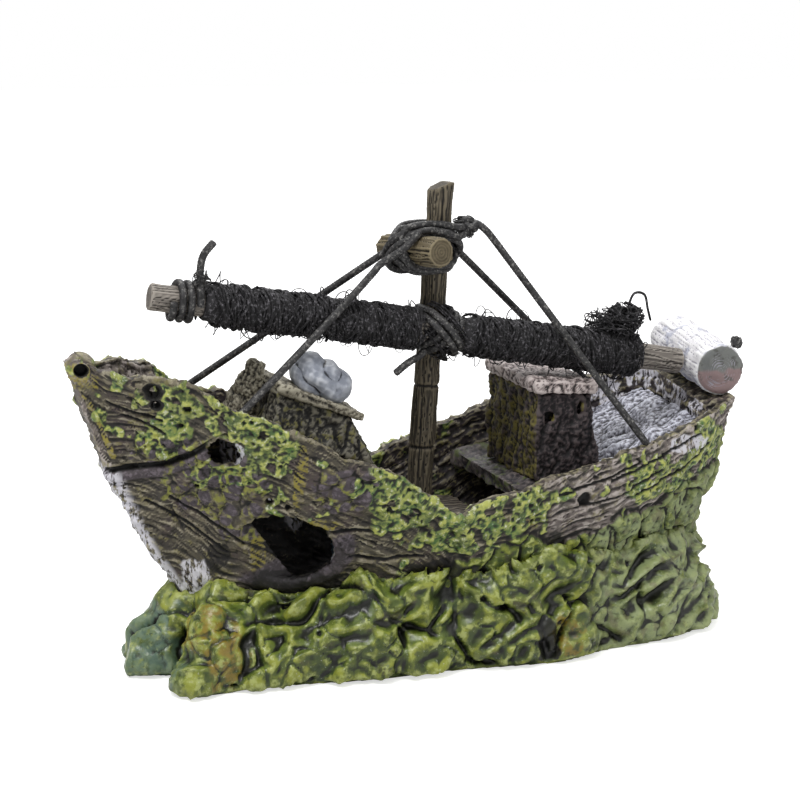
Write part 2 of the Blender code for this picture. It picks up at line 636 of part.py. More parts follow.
def main():
    """Build every piece."""
    clear_scene()
    parts, cutters = make_collections()
    mats = {
        "rock": make_material("mossy_rock", (0.16, 0.24, 0.05), 0.45),
        "hull": make_material("weathered_hull", (0.16, 0.15, 0.12), 0.65),
        "deck": make_material("old_deck", (0.10, 0.09, 0.08), 0.75),
        "aft": make_material("bleached_deck", (0.42, 0.42, 0.48), 0.7),
        "hatch": make_material("olive_timber", (0.11, 0.10, 0.07), 0.7),
        "hatch_rim": make_material("grey_timber", (0.24, 0.22, 0.18), 0.7),
        "boulder": make_material("silver_boulder", (0.30, 0.32, 0.36), 0.4),
        "cabin": make_material("brown_cabin", (0.09, 0.07, 0.06), 0.7),
        "roof": make_material("worn_roof", (0.40, 0.35, 0.35), 0.7),
        "mast": make_material("mast_wood", (0.09, 0.08, 0.06), 0.75),
        "crosspiece": make_material("crosspiece_wood", (0.16, 0.13, 0.08), 0.75),
        "boom": make_material("boom_wood", (0.20, 0.19, 0.18), 0.8),
        "log": make_material("bleached_log", (0.70, 0.67, 0.69), 0.6),
        "cord": make_material("waxed_cord", (0.03, 0.03, 0.03), 0.6),
        "sail": make_material("dark_fibre", (0.02, 0.02, 0.022), 0.9),
        "stone": make_material("air_stone_grit", (0.35, 0.45, 0.5), 0.95),
        "plastic": make_material("clear_plastic", (0.6, 0.62, 0.62), 0.3),
    }
    make_rock(parts, cutters, mats)
    make_hull(parts, cutters, mats)
    make_decks(parts, cutters, mats)
    make_hatch(parts, cutters, mats)
    make_cabin(parts, cutters, mats)
    make_sticks(parts, cutters, mats)
    make_sail(parts, mats)
    make_rigging(parts, mats)
    make_air_line(parts, cutters, mats)


main()
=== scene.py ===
"""Bubbling ornament: a moss-grown resin shipwreck with a wooden rig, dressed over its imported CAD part."""

import itertools
import math

import bpy
import numpy as np
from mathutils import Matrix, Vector
from mathutils.bvhtree import BVHTree


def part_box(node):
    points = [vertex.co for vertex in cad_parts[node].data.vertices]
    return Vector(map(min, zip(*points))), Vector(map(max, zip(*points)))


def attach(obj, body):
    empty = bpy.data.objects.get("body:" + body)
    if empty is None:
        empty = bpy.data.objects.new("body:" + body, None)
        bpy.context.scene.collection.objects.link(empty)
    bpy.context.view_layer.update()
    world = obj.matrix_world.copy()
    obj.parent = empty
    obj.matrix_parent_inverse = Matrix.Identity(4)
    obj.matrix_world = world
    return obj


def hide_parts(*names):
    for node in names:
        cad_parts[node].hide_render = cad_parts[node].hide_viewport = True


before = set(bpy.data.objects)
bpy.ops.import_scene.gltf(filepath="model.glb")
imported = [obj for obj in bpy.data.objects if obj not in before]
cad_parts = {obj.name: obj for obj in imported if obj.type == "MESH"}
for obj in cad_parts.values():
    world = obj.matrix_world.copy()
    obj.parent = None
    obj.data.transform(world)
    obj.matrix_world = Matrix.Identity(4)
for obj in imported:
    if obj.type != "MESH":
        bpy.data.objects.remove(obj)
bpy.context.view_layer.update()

MM = 0.001
# The CAD's own bars, in millimetres: two ends and the radius.
MAST = ((0.1, 0.0, 27.4), (7.4, 0.0, 128.2), 3.5)
CROSSPIECE = ((1.4, -16.0, 110.8), (-4.6, 9.8, 109.2), 4.0)
BOOM = ((-76.0, -8.0, 101.8), (78.0, -8.0, 75.3), 3.6)
STERN_LOG = ((86.0, -18.0, 73.7), (89.4, 18.0, 77.2), 7.2)
MAST_NOTCHES = (54.5, 72.0)
CORD_R = 1.0
# The turns that run from the masthead knot round the mast's front and back to the crosspiece's far side.
MASTHEAD_BANDS = [[(10.6, -4.6, 115.9), (5.0, -6.0, 117.1), (-1.0, -6.6, 117.2), (-4.8, -6.0, 116.2),
                   (-6.2, -6.0, 113.2), (-5.8, -7.4, 109.4), (-3.8, -8.2, 106.0), (0.5, -7.0, 104.6)],
                  [(10.8, -5.2, 113.4), (6.4, -7.4, 114.8), (1.0, -8.6, 115.9), (-3.8, -7.4, 114.8),
                   (-5.6, -4.6, 112.4)],
                  [(10.6, 4.0, 115.4), (5.0, 5.4, 116.4), (-2.0, 4.4, 116.0), (-5.8, 0.6, 113.6)]]

# Port side of the hull, x and z in millimetres: oval spots are (x, z, half width, half height).
BIG_CRACK = [(-88.0, 56.0), (-81.7, 56.8), (-74.4, 57.7), (-69.7, 60.1), (-64.6, 63.6), (-60.5, 66.5)]
HULL_CRACKS = [[(-87, 73.9), (-81, 71.6), (-75, 70.4)], [(-84, 70.6), (-78, 69.0), (-74, 67.0)],
               [(-35, 39.8), (-29, 40.0), (-23, 39.4)], [(-28, 32.8), (-19, 31.6), (-9, 32.0)],
               [(28, 46.8), (40, 49.4), (53, 53.2)], [(33, 42.0), (47, 45.0), (60, 50.2)],
               [(44, 49.2), (60, 53.6), (74, 58.4)], [(52, 44.0), (66, 48.6), (78, 55.0)],
               [(-78, 48.0), (-68, 41.0), (-58, 33.0)], [(-72, 49.0), (-62, 42.0), (-54, 36.0)]]
HULL_HOLES = [(-49.0, 48.2, 1.0), (-44.4, 46.8, 0.9), (-19.5, 46.3, 0.9), (35.8, 44.6, 2.4),
              (-69.3, 74.0, 1.3), (-66.0, 52.0, 0.8), (20.0, 40.5, 0.9), (72.3, 60.1, 1.1)]
MOSS_SPOTS = [(-68, 76, 11, 5), (-74, 66, 7, 6), (-57, 70, 9, 6), (-60, 58, 9, 6), (-49, 64, 6, 8),
              (-12, 48, 14, 9), (-20, 54, 7, 5), (13, 45, 15, 6), (60, 47, 12, 6), (78, 54, 9, 7),
              (0, 37, 14, 4)]
COBBLE_SPOTS = [(-62, 53, 12, 9), (-72, 62, 9, 5), (-55, 43, 7, 7), (-30, 52, 9, 6)]
OCHRE_SPOTS = [(20, 43, 4, 4), (-93, 80, 4, 4), (-42, 56, 1.5, 9), (-50, 33, 2.5, 5), (-37, 42, 6, 1.6)]
OPENING = (-44.3, 34.6, 13.4, 9.6)
PALE_SPOTS = [(70, 56, 7, 2.5), (-65.5, 24, 4, 7)]
STEM_STRIP = [(-95.5, 77.0), (-93.1, 71.5), (-90.5, 64.5), (-86.9, 57.6)]
STEM_EDGE = [(-95.1, 80.5), (-91.6, 73.7), (-88.6, 67.2), (-86.0, 60.0)]
# Painted shadow low on the port hull: below the big opening, between hull and rock, and in two narrow spots.
SHADOW_SPOTS = [(-38, 24.5, 15, 3.5), (-3, 27.5, 10, 3), (27.5, 29, 3, 8), (-60, 31, 3, 4)]
# Where the moss-grown rock climbs to on the hull, x and z.
ROCK_LINE = [(-96, 18), (-70, 18), (-60, 22), (-50, 21), (-40, 19), (-28, 21), (-15, 26), (-2, 27), (6, 31),
             (12, 36), (22, 37), (28, 29), (34, 32), (45, 37), (60, 40), (76, 45), (96, 52)]
SKY_LOW, SKY_HIGH, FLOOR_GLOW = 0.12, 0.7, 0.62
# The rounded bow head runs down into the stem, from its middle to a foot, with a radius.
BOW_HEAD = ((-92.2, -1.8, 82.2), (-88.0, -1.8, 72.0), 3.9)
HAWSES = [(-92.6, 81.6, 1.8), (-77.3, 78.2, 2.3), (-76.2, 74.8, 1.5)]
HEAD_LIFT = (-1.0, 0.0, 1.7)
# The hull's bow and stern pieces meet at this x.
HULL_SPLIT = -8


def srgb(red, green, blue):
    """A linear colour from screen values of 0 to 255."""
    return [((c / 255 + 0.055) / 1.055) ** 2.4 if c > 10 else c / 3295 for c in (red, green, blue)]


# ---------------------------------------------------------------- noise


def bits(cell, seed):
    """Fixed random bits for each whole-number cell."""
    x, y, z = (cell[:, k].astype(np.int64).astype(np.uint32) for k in range(3))
    h = x * np.uint32(0x8DA6B343) ^ y * np.uint32(0xD8163841) ^ z * np.uint32(0xCB1AB31F)
    h = h ^ np.uint32(seed * 0x9E3779B1 & 0xFFFFFFFF)
    for shift, factor in ((15, 0x2C1B3C6D), (12, 0x297A2D39)):
        h = (h ^ (h >> np.uint32(shift))) * np.uint32(factor)
    return h ^ (h >> np.uint32(15))


def hashed(cell, seed):
    """A fixed number from 0 to 1 for each whole-number cell."""
    return bits(cell, seed) / 4294967296.0


def noise(points, size, seed=0):
    """Smooth random values from about -1 to 1 in lumps of a size, one number or three."""
    place = points / np.asarray(size, float) + 0.371 * (seed + 1)
    cell = np.floor(place)
    part = place - cell
    blend = part ** 3 * (part * (part * 6 - 15) + 10)
    total = 0.0
    for corner in itertools.product((0, 1), repeat=3):
        weight = np.prod(np.where(corner, blend, 1 - blend), axis=1)
        h = bits(cell + corner, seed)
        slope = sum((((h >> np.uint32(10 * k)) & np.uint32(1023)) / 511.5 - 1) * (part[:, k] - corner[k])
                    for k in range(3))
        total = total + weight * slope
    return total * 1.9


def fbm(points, size, octaves, seed=0):
    """Noise with finer noise on it, from about -1 to 1."""
    total, share, whole = 0.0, 1.0, 0.0
    for k in range(octaves):
        total = total + share * noise(points, np.asarray(size, float) / 2 ** k, seed + 17 * k)
        whole += share
        share *= 0.55
    return total / whole * 1.3


def cobbles(points, size, seed):
    """Scattered seeds: distance to the nearest, its lead over the second, and its own number."""
    place = points / size
    base = np.floor(place)
    near = np.full(len(place), 9.0)
    second = near.copy()
    tag = np.zeros(len(place))
    for step in itertools.product((-1, 0, 1), repeat=3):
        cell = base + step
        spot = cell + 0.1 + 0.8 * np.stack([hashed(cell, seed + k) for k in range(3)], 1)
        gap = np.linalg.norm(place - spot, axis=1)
        second = np.where(gap < near, near, np.minimum(second, gap))
        tag = np.where(gap < near, hashed(cell, seed + 3), tag)
        near = np.minimum(near, gap)
    return near, second - near, tag


def ramp(value, low, high):
    """0 below low, 1 above high, and smooth between."""
    t = np.clip((value - low) / (high - low), 0, 1)
    return t * t * (3 - 2 * t)


def spots(x, z, ovals, ragged):
    """1 inside any of the ovals and 0 outside, with a ragged edge."""
    best = np.zeros(len(x))
    for cx, cz, wide, high in ovals:
        best = np.maximum(best, ramp(1.2 - np.hypot((x - cx) / wide, (z - cz) / high) + ragged, 0, 0.4))
    return best


def line_distance(x, z, line):
    """Distance to a bent line in the X and Z plane."""
    best = np.full(len(x), 1e9)
    for (x0, z0), (x1, z1) in zip(line, line[1:]):
        dx, dz = x1 - x0, z1 - z0
        t = np.clip(((x - x0) * dx + (z - z0) * dz) / (dx * dx + dz * dz), 0, 1)
        best = np.minimum(best, np.hypot(x - x0 - t * dx, z - z0 - t * dz))
    return best


# ---------------------------------------------------------------- meshes


def unit(vectors, least=1e-6):
    """Rows at length 1; those shorter than the least length stay short."""
    return vectors / np.maximum(np.linalg.norm(vectors, axis=1, keepdims=True), least)


def read(items, key, width, kind):
    """A mesh's numbers as an array."""
    out = np.empty(len(items) * width, kind)
    items.foreach_get(key, out)
    return out.reshape(-1, width) if width > 1 else out


class Skin:
    """An even mesh over a CAD node, in millimetres, for the shaping functions to push about."""

    def __init__(self, node, voxel):
        source = bpy.data.objects.new("skin_source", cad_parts[node].data.copy())
        bpy.context.scene.collection.objects.link(source)
        remesh = source.modifiers.new("skin", "REMESH")
        remesh.mode = "VOXEL"
        remesh.voxel_size = voxel * MM
        shown = source.evaluated_get(bpy.context.evaluated_depsgraph_get())
        mesh = bpy.data.meshes.new_from_object(shown)
        self.points = read(mesh.vertices, "co", 3, np.float32).astype(float) / MM
        self.faces = read(mesh.loops, "vertex_index", 1, np.int32).reshape(-1, 4)
        bpy.data.objects.remove(source)
        bpy.data.meshes.remove(mesh)
        self.node = node
        self.marks = {}
        self.turn()

    def turn(self):
        """Point the normals by the mesh as it is now."""
        a, b, c, d = (self.points[self.faces[:, k]] for k in range(4))
        cross = np.cross(c - a, d - b)
        flat = self.faces.ravel()
        count = len(self.points)
        total = np.stack([np.bincount(flat, np.repeat(cross[:, k], 4), count) for k in range(3)], 1)
        self.normals = unit(total, 1e-12)

    def soften(self, points, rounds):
        """The points averaged with their neighbours so many times."""
        ends = np.concatenate([self.faces[:, [k, (k + 1) % 4]] for k in range(4)])
        count = np.maximum(np.bincount(ends[:, 0], minlength=len(points)), 1)
        for _ in range(rounds):
            points = np.stack([np.bincount(ends[:, 0], points[ends[:, 1], k], len(points)) / count
                               for k in range(3)], 1)
        return points

    def push(self, offset):
        """Move the surface along its normals."""
        self.points = self.points + self.normals * offset[:, None]

    def mark_relief(self, fine=0.12, broad=0.5):
        """Mark what stands proud and what lies deep, at two scales, once the shape is final; the deep marks
        carry the dark wash and painted shade of the crevices.
        """
        self.turn()
        for name, rounds, size in (("high", 3, fine), ("broad", 16, broad)):
            lift = ((self.points - self.soften(self.points, rounds)) * self.normals).sum(1)
            self.marks[name] = np.clip(lift / size, -1, 1)


def add_mesh(name, points, faces, mat, marks=None, normals=None):
    """A smooth-shaded object from millimetre points, with point attributes."""
    mesh = bpy.data.meshes.new(name)
    sides = faces.shape[1]
    mesh.vertices.add(len(points))
    mesh.vertices.foreach_set("co", (points * MM).astype(np.float32).ravel())
    mesh.loops.add(faces.size)
    mesh.loops.foreach_set("vertex_index", faces.astype(np.int32).ravel())
    mesh.polygons.add(len(faces))
    mesh.polygons.foreach_set("loop_start", np.arange(0, faces.size, sides, dtype=np.int32))
    mesh.update(calc_edges=True)
    mesh.validate()
    mesh.shade_smooth()
    for key, values in (marks or {}).items():
        mesh.attributes.new(key, "FLOAT", "POINT").data.foreach_set("value", values.astype(np.float32))
    if normals is not None:
        mesh.normals_split_custom_set_from_vertices(normals.astype(np.float32))
    mesh.materials.append(mat)
    obj = bpy.data.objects.new(name, mesh)
    bpy.context.scene.collection.objects.link(obj)
    return obj


def settle(obj, slot, *nodes):
    """The piece rides the one body and stands for its CAD nodes; the slot is not used."""
    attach(obj, "root")
    if nodes:
        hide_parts(*nodes)


def show(name, skin, mat, slot):
    """The finished skin as one piece."""
    skin.mark_relief()
    settle(add_mesh(name, skin.points, skin.faces, mat, skin.marks), slot, skin.node)


def show_in_parts(skin, mat, slot, parts):
    """The finished skin as several pieces: parts are names with a test of the faces' middles."""
    skin.mark_relief()
    middle = skin.points[skin.faces].mean(1)
    for name, test in parts:
        faces = skin.faces[test(middle)]
        used, index = np.unique(faces, return_inverse=True)
        marks = {key: values[used] for key, values in skin.marks.items()}
        obj = add_mesh(name, skin.points[used], index.reshape(-1, 4), mat, marks, skin.normals[used])
        settle(obj, slot, skin.node)


# ---------------------------------------------------------------- cords


def travelled(route):
    """How far along a route each of its points is."""
    return np.concatenate([[0], np.cumsum(np.linalg.norm(np.diff(route, axis=0), axis=1))])


def tube_faces(rows, cols):
    """The sides of a tube whose points run round each row in turn."""
    row, col = np.meshgrid(np.arange(rows - 1), np.arange(cols), indexing="ij")
    after = (col + 1) % cols
    here, ahead = row * cols, (row + 1) * cols
    return np.stack([here + col, here + after, ahead + after, ahead + col], -1).reshape(-1, 4)


def spline(points, spacing):
    """A smooth curve through points, resampled at even steps."""
    p = np.asarray(points, float)
    padded = np.concatenate([p[:1], p, p[-1:]])
    t = np.linspace(0, 1, 24, endpoint=False)[:, None]
    spans = [0.5 * (2 * b + (c - a) * t + (2 * a - 5 * b + 4 * c - d) * t ** 2
                    + (3 * b - 3 * c + d - a) * t ** 3)
             for a, b, c, d in zip(padded, padded[1:], padded[2:], padded[3:])]
    curve = np.concatenate([*spans, p[-1:]])
    travel = travelled(curve)
    steps = np.linspace(0, travel[-1], max(int(travel[-1] / spacing), 3))
    return np.stack([np.interp(steps, travel, curve[:, k]) for k in range(3)], 1)


def sweep(route, radius, sides, lobes=0, pitch=4.0, depth=0.0):
    """Points and faces of a cord along a route; lobes twisted round it make its strands."""
    tangents = np.gradient(route, axis=0)
    tangents /= np.linalg.norm(tangents, axis=1, keepdims=True)
    normal = np.cross(tangents[0], np.eye(3)[np.argmin(abs(tangents[0]))])
    normals = []
    for tangent in tangents:
        normal = normal - tangent * (normal @ tangent)
        normal /= np.linalg.norm(normal)
        normals.append(normal)
    normals = np.array(normals)
    binormals = np.cross(tangents, normals)
    angle = np.linspace(0, 2 * math.pi, sides, endpoint=False)
    size = np.full((len(route), sides), 1.0)
    if lobes:
        twisted = angle[None] - travelled(route)[:, None] * 2 * math.pi / pitch
        size += depth * (abs(np.cos(lobes / 2 * twisted)) - 0.8)
    size = size * np.broadcast_to(np.asarray(radius, float), (len(route),))[:, None]
    size[[0, -1]] *= 0.55
    c, s = np.cos(angle)[None, :, None], np.sin(angle)[None, :, None]
    ring = normals[:, None] * c + binormals[:, None] * s
    points = (route[:, None] + ring * size[..., None]).reshape(-1, 3)
    caps = []
    for base in (0, (len(route) - 1) * sides):
        fan = [[base + k, base + k + 1, base + sides - 2 - k, base + sides - 1 - k]
               for k in range(sides // 2 - 1)]
        caps.append(np.array(fan if base else [quad[::-1] for quad in fan]))
    return points, np.concatenate([tube_faces(len(route), sides), *caps])


def bundle(name, cords, mat, slot, *nodes):
    """Several swept cords as one piece."""
    all_points, all_faces, count = [], [], 0
    for points, faces in cords:
        all_points.append(points)
        all_faces.append(faces + count)
        count += len(points)
    settle(add_mesh(name, np.concatenate(all_points), np.concatenate(all_faces), mat), slot, *nodes)


def rope(route, radius=CORD_R):
    """The waxed cord: three strands twisted together."""
    return sweep(route, radius, 18, lobes=6, pitch=4.6, depth=0.22)


def box_mm(node):
    """A node's lowest and highest corners in millimetres."""
    return [np.array(corner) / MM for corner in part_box(node)]


def lashing_loop(stick_a, stick_b, side, over=0.0, shift=0.0, turns=1.0, close=CORD_R + 0.35, steps=64):
    """A diagonal turn of cord round two crossed sticks, on diagonal +1 or -1, shifted sideways."""
    (a0, a1, ra), (b0, b1, rb) = [(np.array(s[0]), np.array(s[1]), s[2]) for s in (stick_a, stick_b)]
    da, db = (a1 - a0) / np.linalg.norm(a1 - a0), (b1 - b0) / np.linalg.norm(b1 - b0)
    across = np.cross(da, db)
    across /= np.linalg.norm(across)
    gap = (b0 - a0) @ across
    if gap < 0:
        across, gap = -across, -gap
    k = da @ db
    near_a = a0 + da * ((k * (db @ (a0 - b0)) - da @ (a0 - b0)) / (1 - k * k))
    diagonal = da + side * db
    diagonal /= np.linalg.norm(diagonal)
    normal = np.cross(across, diagonal)
    widths = [(ra, ra / abs(da @ normal)), (rb, rb / abs(db @ normal))]
    route = []
    for angle in np.linspace(0, 2 * math.pi * turns, int(steps * turns) + 1):
        c, s = math.cos(angle), math.sin(angle)
        clearance = close + over * c ** 4
        reaches = []
        for offset, (w, u) in zip((0.0, gap), widths):
            size = math.hypot(w * c, u * s)
            reaches.append((offset * c + size, offset + w * w * c / size + clearance * c,
                            u * u * s / size + clearance * s))
        _, up, out = max(reaches)
        route.append(near_a + across * up + diagonal * out + normal * shift)
    return np.array(route)


def ring_centres(name, spread=0.8):
    """The centre line of a CAD cord that is nearly straight, from its rings of corners."""
    corners = read(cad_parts[name].data.vertices, "co", 3, np.float32)
    points = np.unique(np.round(corners / MM, 3), axis=0).astype(float)
    middle = points.mean(0)
    axis = np.linalg.svd(points - middle)[2][0]
    order = np.argsort((points - middle) @ axis)
    along = ((points - middle) @ axis)[order]
    groups = np.split(points[order], np.where(np.diff(along) > spread)[0] + 1)
    centres = np.array([group.mean(0) for group in groups])
    return centres if centres[0, 2] < centres[-1, 2] else centres[::-1]


# ---------------------------------------------------------------- materials


def add_node(tree, kind, inputs=None, **settings):
    """A node with its settings, and inputs set to a value or joined to a socket."""
    made = tree.nodes.new(kind)
    for key, value in settings.items():
        setattr(made, key, value)
    for key, value in (inputs or {}).items():
        if isinstance(value, bpy.types.NodeSocket):
            tree.links.new(value, made.inputs[key])
        else:
            made.inputs[key].default_value = value
    return made


class Paint:
    """A Principled material built up from layers of colour."""

    def __init__(self, name, base):
        self.mat = bpy.data.materials.new(name)
        self.mat.use_nodes = True
        self.tree = self.mat.node_tree
        self.shader = self.tree.nodes["Principled BSDF"]
        self.coords = self.node("ShaderNodeTexCoord").outputs["Object"]
        self.colour = self.node("ShaderNodeRGB").outputs[0]
        self.colour.default_value = (*srgb(*base), 1)

    def node(self, kind, inputs=None, **settings):
        """A node in this material."""
        return add_node(self.tree, kind, inputs, **settings)

    def noise(self, size, stretch=(1, 1, 1), detail=4.0, offset=0.0):
        """Noise in lumps of a size in millimetres, stretched along the axes."""
        place = self.node("ShaderNodeMapping", {"Vector": self.coords, "Location": (offset,) * 3,
                                                "Scale": [1 / (size * MM * s) for s in stretch]})
        return self.node("ShaderNodeTexNoise", {"Vector": place.outputs[0], "Scale": 1.0, "Detail": detail,
                                                "Roughness": 0.6}).outputs["Fac"]

    def mask(self, kind, low, high, stretch=(1, 1, 1)):
        """0 to 1 as a point attribute, by its name, or a noise, by its size, goes from low to high."""
        if isinstance(kind, str):
            value = self.node("ShaderNodeAttribute", attribute_name=kind).outputs["Fac"]
        else:
            value = self.noise(kind, stretch, offset=kind)
        return self.node("ShaderNodeMapRange", {"Value": value, "From Min": low, "From Max": high},
                         interpolation_type="SMOOTHSTEP").outputs[0]

    def both(self, values):
        """Masks multiplied together."""
        total = values[0]
        for value in values[1:]:
            total = self.node("ShaderNodeMath", {0: total, 1: value}, operation="MULTIPLY").outputs[0]
        return total

    def layer(self, colour, strength, *masks):
        """Paint over what is there, where every mask lets it through."""
        factor = self.both([strength, *(self.mask(*m) for m in masks)])
        inputs = {0: factor, 6: self.colour, 7: (*srgb(*colour), 1)}
        mixed = self.node("ShaderNodeMix", inputs, data_type="RGBA")
        self.colour = mixed.outputs[2]

    def layers(self, rows, *where):
        """Paint several layers, each a colour, a strength and its masks, all within further masks."""
        for row in rows:
            self.layer(*row, *where)

    def finish(self, rough, rough_wet=None, wet=None, bumps=(), **sockets):
        """Join the colour, the roughness, by a mask where wet, and the bumps (size, height, stretch)."""
        self.tree.links.new(self.colour, self.shader.inputs["Base Color"])
        grain = self.noise(1.3, detail=3.0, offset=5.0)
        low = self.node("ShaderNodeMapRange", {"Value": grain, "From Min": 0.3, "From Max": 0.7,
                                               "To Min": rough - 0.08, "To Max": rough + 0.08}).outputs[0]
        if wet:
            low = self.node("ShaderNodeMix", {0: self.mask(*wet), 2: low, 3: rough_wet}).outputs[0]
        self.tree.links.new(low, self.shader.inputs["Roughness"])
        normal = None
        for size, height, stretch in bumps:
            relief = self.noise(size, stretch, offset=2.0)
            inputs = {"Height": relief, "Distance": height * MM, "Strength": 1.0}
            if normal:
                inputs["Normal"] = normal
            normal = self.node("ShaderNodeBump", inputs).outputs[0]
        if normal:
            self.tree.links.new(normal, self.shader.inputs["Normal"])
        for key, value in sockets.items():
            self.shader.inputs[key.replace("_", " ")].default_value = value
        return self.mat


def moss_layers(paint, *where):
    """Glossy painted moss over rock, where the given masks let it through."""
    paint.layers([
        ((64, 78, 33), 1.0),
        ((92, 106, 40), 0.9, (8.0, 0.44, 0.6)),
        ((52, 70, 34), 0.8, (13.0, 0.5, 0.62)),
        ((84, 74, 58), 0.6, (6.0, 0.56, 0.66)),
        ((124, 134, 52), 0.85, ("high", 0.0, 0.8), (3.0, 0.36, 0.6)),
        # Painted light: the up-facing tops of the moss are painted lighter.
        ((110, 128, 48), 0.75, ("up", 0.2, 0.7), (5.0, 0.36, 0.56)),
        ((164, 170, 64), 0.75, ("broad", 0.2, 0.85), (5.0, 0.44, 0.6)),
        ((188, 196, 120), 0.7, ("high", 0.45, 1.0), (2.2, 0.46, 0.62)),
        # Painted glints: whitish speckles over the glossy moss.
        ((206, 214, 196), 0.6, (0.9, 0.62, 0.74))], *where)


def soft_layers(paint, *where):
    """The greyer, softer moss towards the stern."""
    paint.layers([
        ((158, 170, 124), 0.8, ("soft", 0.2, 0.9), (5.0, 0.32, 0.6)),
        ((112, 104, 78), 0.6, ("soft", 0.2, 0.9), (3.4, 0.52, 0.66))], *where)


def hull_paint():
    """Dry-brushed old timber with moss, painted stones and black crevices."""
    paint = Paint("hull_resin", (62, 57, 50))
    paint.layers([
        ((88, 82, 68), 1.0, (5.0, 0.42, 0.6)),
        ((80, 68, 68), 0.8, (9.0, 0.5, 0.62)),
        ((54, 46, 49), 1.0, ("inside", 0.2, 0.8)),
        ((134, 126, 104), 0.85, ("high", 0.1, 0.75), (3.0, 0.34, 0.56)),
        ((182, 174, 152), 0.7, ("high", 0.5, 1.0), (2.0, 0.45, 0.6)),
        ((126, 116, 112), 0.75, ("blush", 0.2, 0.8), (3.0, 0.32, 0.56)),
        ((198, 188, 182), 0.8, ("blush", 0.2, 0.8), ("high", 0.05, 0.7), (2.4, 0.38, 0.56)),
        ((128, 122, 60), 0.6, (4.0, 0.52, 0.62), ("high", -0.2, 0.5), (1.3, 0.36, 0.6)),
        ((158, 146, 56), 0.85, ("ochre", 0.1, 0.7), ("high", -0.4, 0.3), (1.6, 0.36, 0.58)),
        ((74, 66, 72), 0.95, ("stone", 0.2, 0.7)),
        ((124, 114, 122), 0.7, ("stone", 0.3, 0.8), ("high", -0.2, 0.5), (1.3, 0.44, 0.62)),
        ((78, 96, 50), 1.0, ("moss", 0.15, 0.55)),
        ((80, 118, 62), 0.8, ("moss", 0.2, 0.6), (7.0, 0.48, 0.58)),
        ((148, 158, 80), 0.9, ("moss", 0.2, 0.6), ("high", -0.5, 0.3), (3.0, 0.36, 0.56)),
        ((196, 200, 104), 0.85, ("moss", 0.2, 0.6), ("high", 0.0, 0.9), (3.4, 0.42, 0.58)),
        ((146, 148, 58), 0.8, ("lace", 0.3, 0.8), (2.0, 0.42, 0.6)),
        # Painted glints: whitish speckles on the raised moss.
        ((222, 224, 204), 0.75, ("moss", 0.2, 0.6), ("high", 0.2, 0.9), (1.1, 0.52, 0.66))])
    moss_layers(paint, ("low", 0.3, 0.7))
    soft_layers(paint, ("low", 0.3, 0.7))
    paint.layers([
        # Dark wash and painted shade in the crevices, deepest inside the hull.
        ((32, 29, 24), 0.84, ("high", -0.16, -0.85)),
        ((13, 12, 11), 0.92, ("broad", -0.25, -0.9)),
        # White paint on the stem, low on the bow and towards the stern, with painted light inside the bow's
        # eye hole and big opening.
        ((226, 224, 232), 0.95, ("pale", 0.2, 0.8), (1.2, 0.42, 0.52, (1, 1, 3))),
        # Painted shade: under the hull, in the hold and on the opening's lip.
        ((20, 18, 18), 0.9, ("shade", 0.1, 0.8), (1.8, 0.2, 0.45)),
        # Near black in the cracks, the gash and the holes; in the hawse holes it is painted shade.
        ((9, 8, 8), 0.97, ("dark", 0.2, 0.8))])
    return paint.finish(0.62, 0.34, ("moss", 0.2, 0.7), [(0.45, 0.16, (1, 1, 1)), (1.4, 0.2, (3, 3, 1))])


def rock_paint():
    """The rock's own moss: greyer and softer aft, with teal, ochre and black places."""
    paint = Paint("rock_resin", (66, 80, 32))
    moss_layers(paint)
    soft_layers(paint)
    paint.layers([
        ((96, 122, 108), 0.75, ("teal", 0.2, 0.9), (3.0, 0.3, 0.55)),
        ((146, 120, 40), 0.8, ("ochre", 0.2, 0.8), (2.6, 0.4, 0.6)),
        # Dark wash and painted shade in the creases and between the folds.
        ((30, 38, 16), 0.7, ("high", -0.25, -1.0)),
        ((14, 16, 9), 0.95, ("broad", -0.2, -0.8)),
        ((9, 8, 8), 0.97, ("dark", 0.2, 0.8))])
    return paint.finish(0.36, bumps=[(0.6, 0.12, (1, 1, 1)), (2.0, 0.22, (1, 1, 1))], Coat_Weight=0.3,
                        Coat_Roughness=0.18)


def plain_paint(name, base, bright, dark, rough, stretch=(1, 1, 1), extra=(), **sockets):
    """A dry-brushed finish: base, a second tone, bright edges, dark crevices and any further layers."""
    paint = Paint(name, base)
    tone = [(a * 2 + b) / 3 for a, b in zip(base, bright)]
    paint.layer(tone, 0.9, (2.4, 0.42, 0.62, stretch))
    paint.layer(bright, 0.85, ("high", 0.05, 0.75))
    paint.layers(extra)
    # Dark wash and painted shade in the crevices.
    paint.layer(dark, 0.9, ("high", -0.08, -0.6))
    paint.layer(dark, 0.8, ("broad", -0.3, -1.0))
    return paint.finish(rough, bumps=[(0.7, 0.14, stretch), (0.3, 0.06, (1, 1, 1))], **sockets)


def cord_paint(name, base, bright, rough, **sockets):
    """Dark twisted thread with pale flecks."""
    paint = Paint(name, base)
    paint.layer(bright, 0.8, (0.8, 0.5, 0.68))
    paint.layer([c * 0.5 for c in base], 0.8, (2.2, 0.5, 0.62))
    return paint.finish(rough, bumps=[(0.35, 0.12, (1, 1, 1))], **sockets)


# ---------------------------------------------------------------- hull and rock


def rim_heights(points, side, width=1.5):
    """The rim's height along x on one side, as two arrays for np.interp."""
    on_side = points[points[:, 1] * side > 1.0]
    stations = np.arange(-96.0, 96.1, width)
    heights = []
    for x in stations:
        here = on_side[abs(on_side[:, 0] - x) < width]
        heights.append(here[:, 2].max() if len(here) else np.nan)
    heights = np.array(heights)
    known = ~np.isnan(heights)
    return stations[known], heights[known]


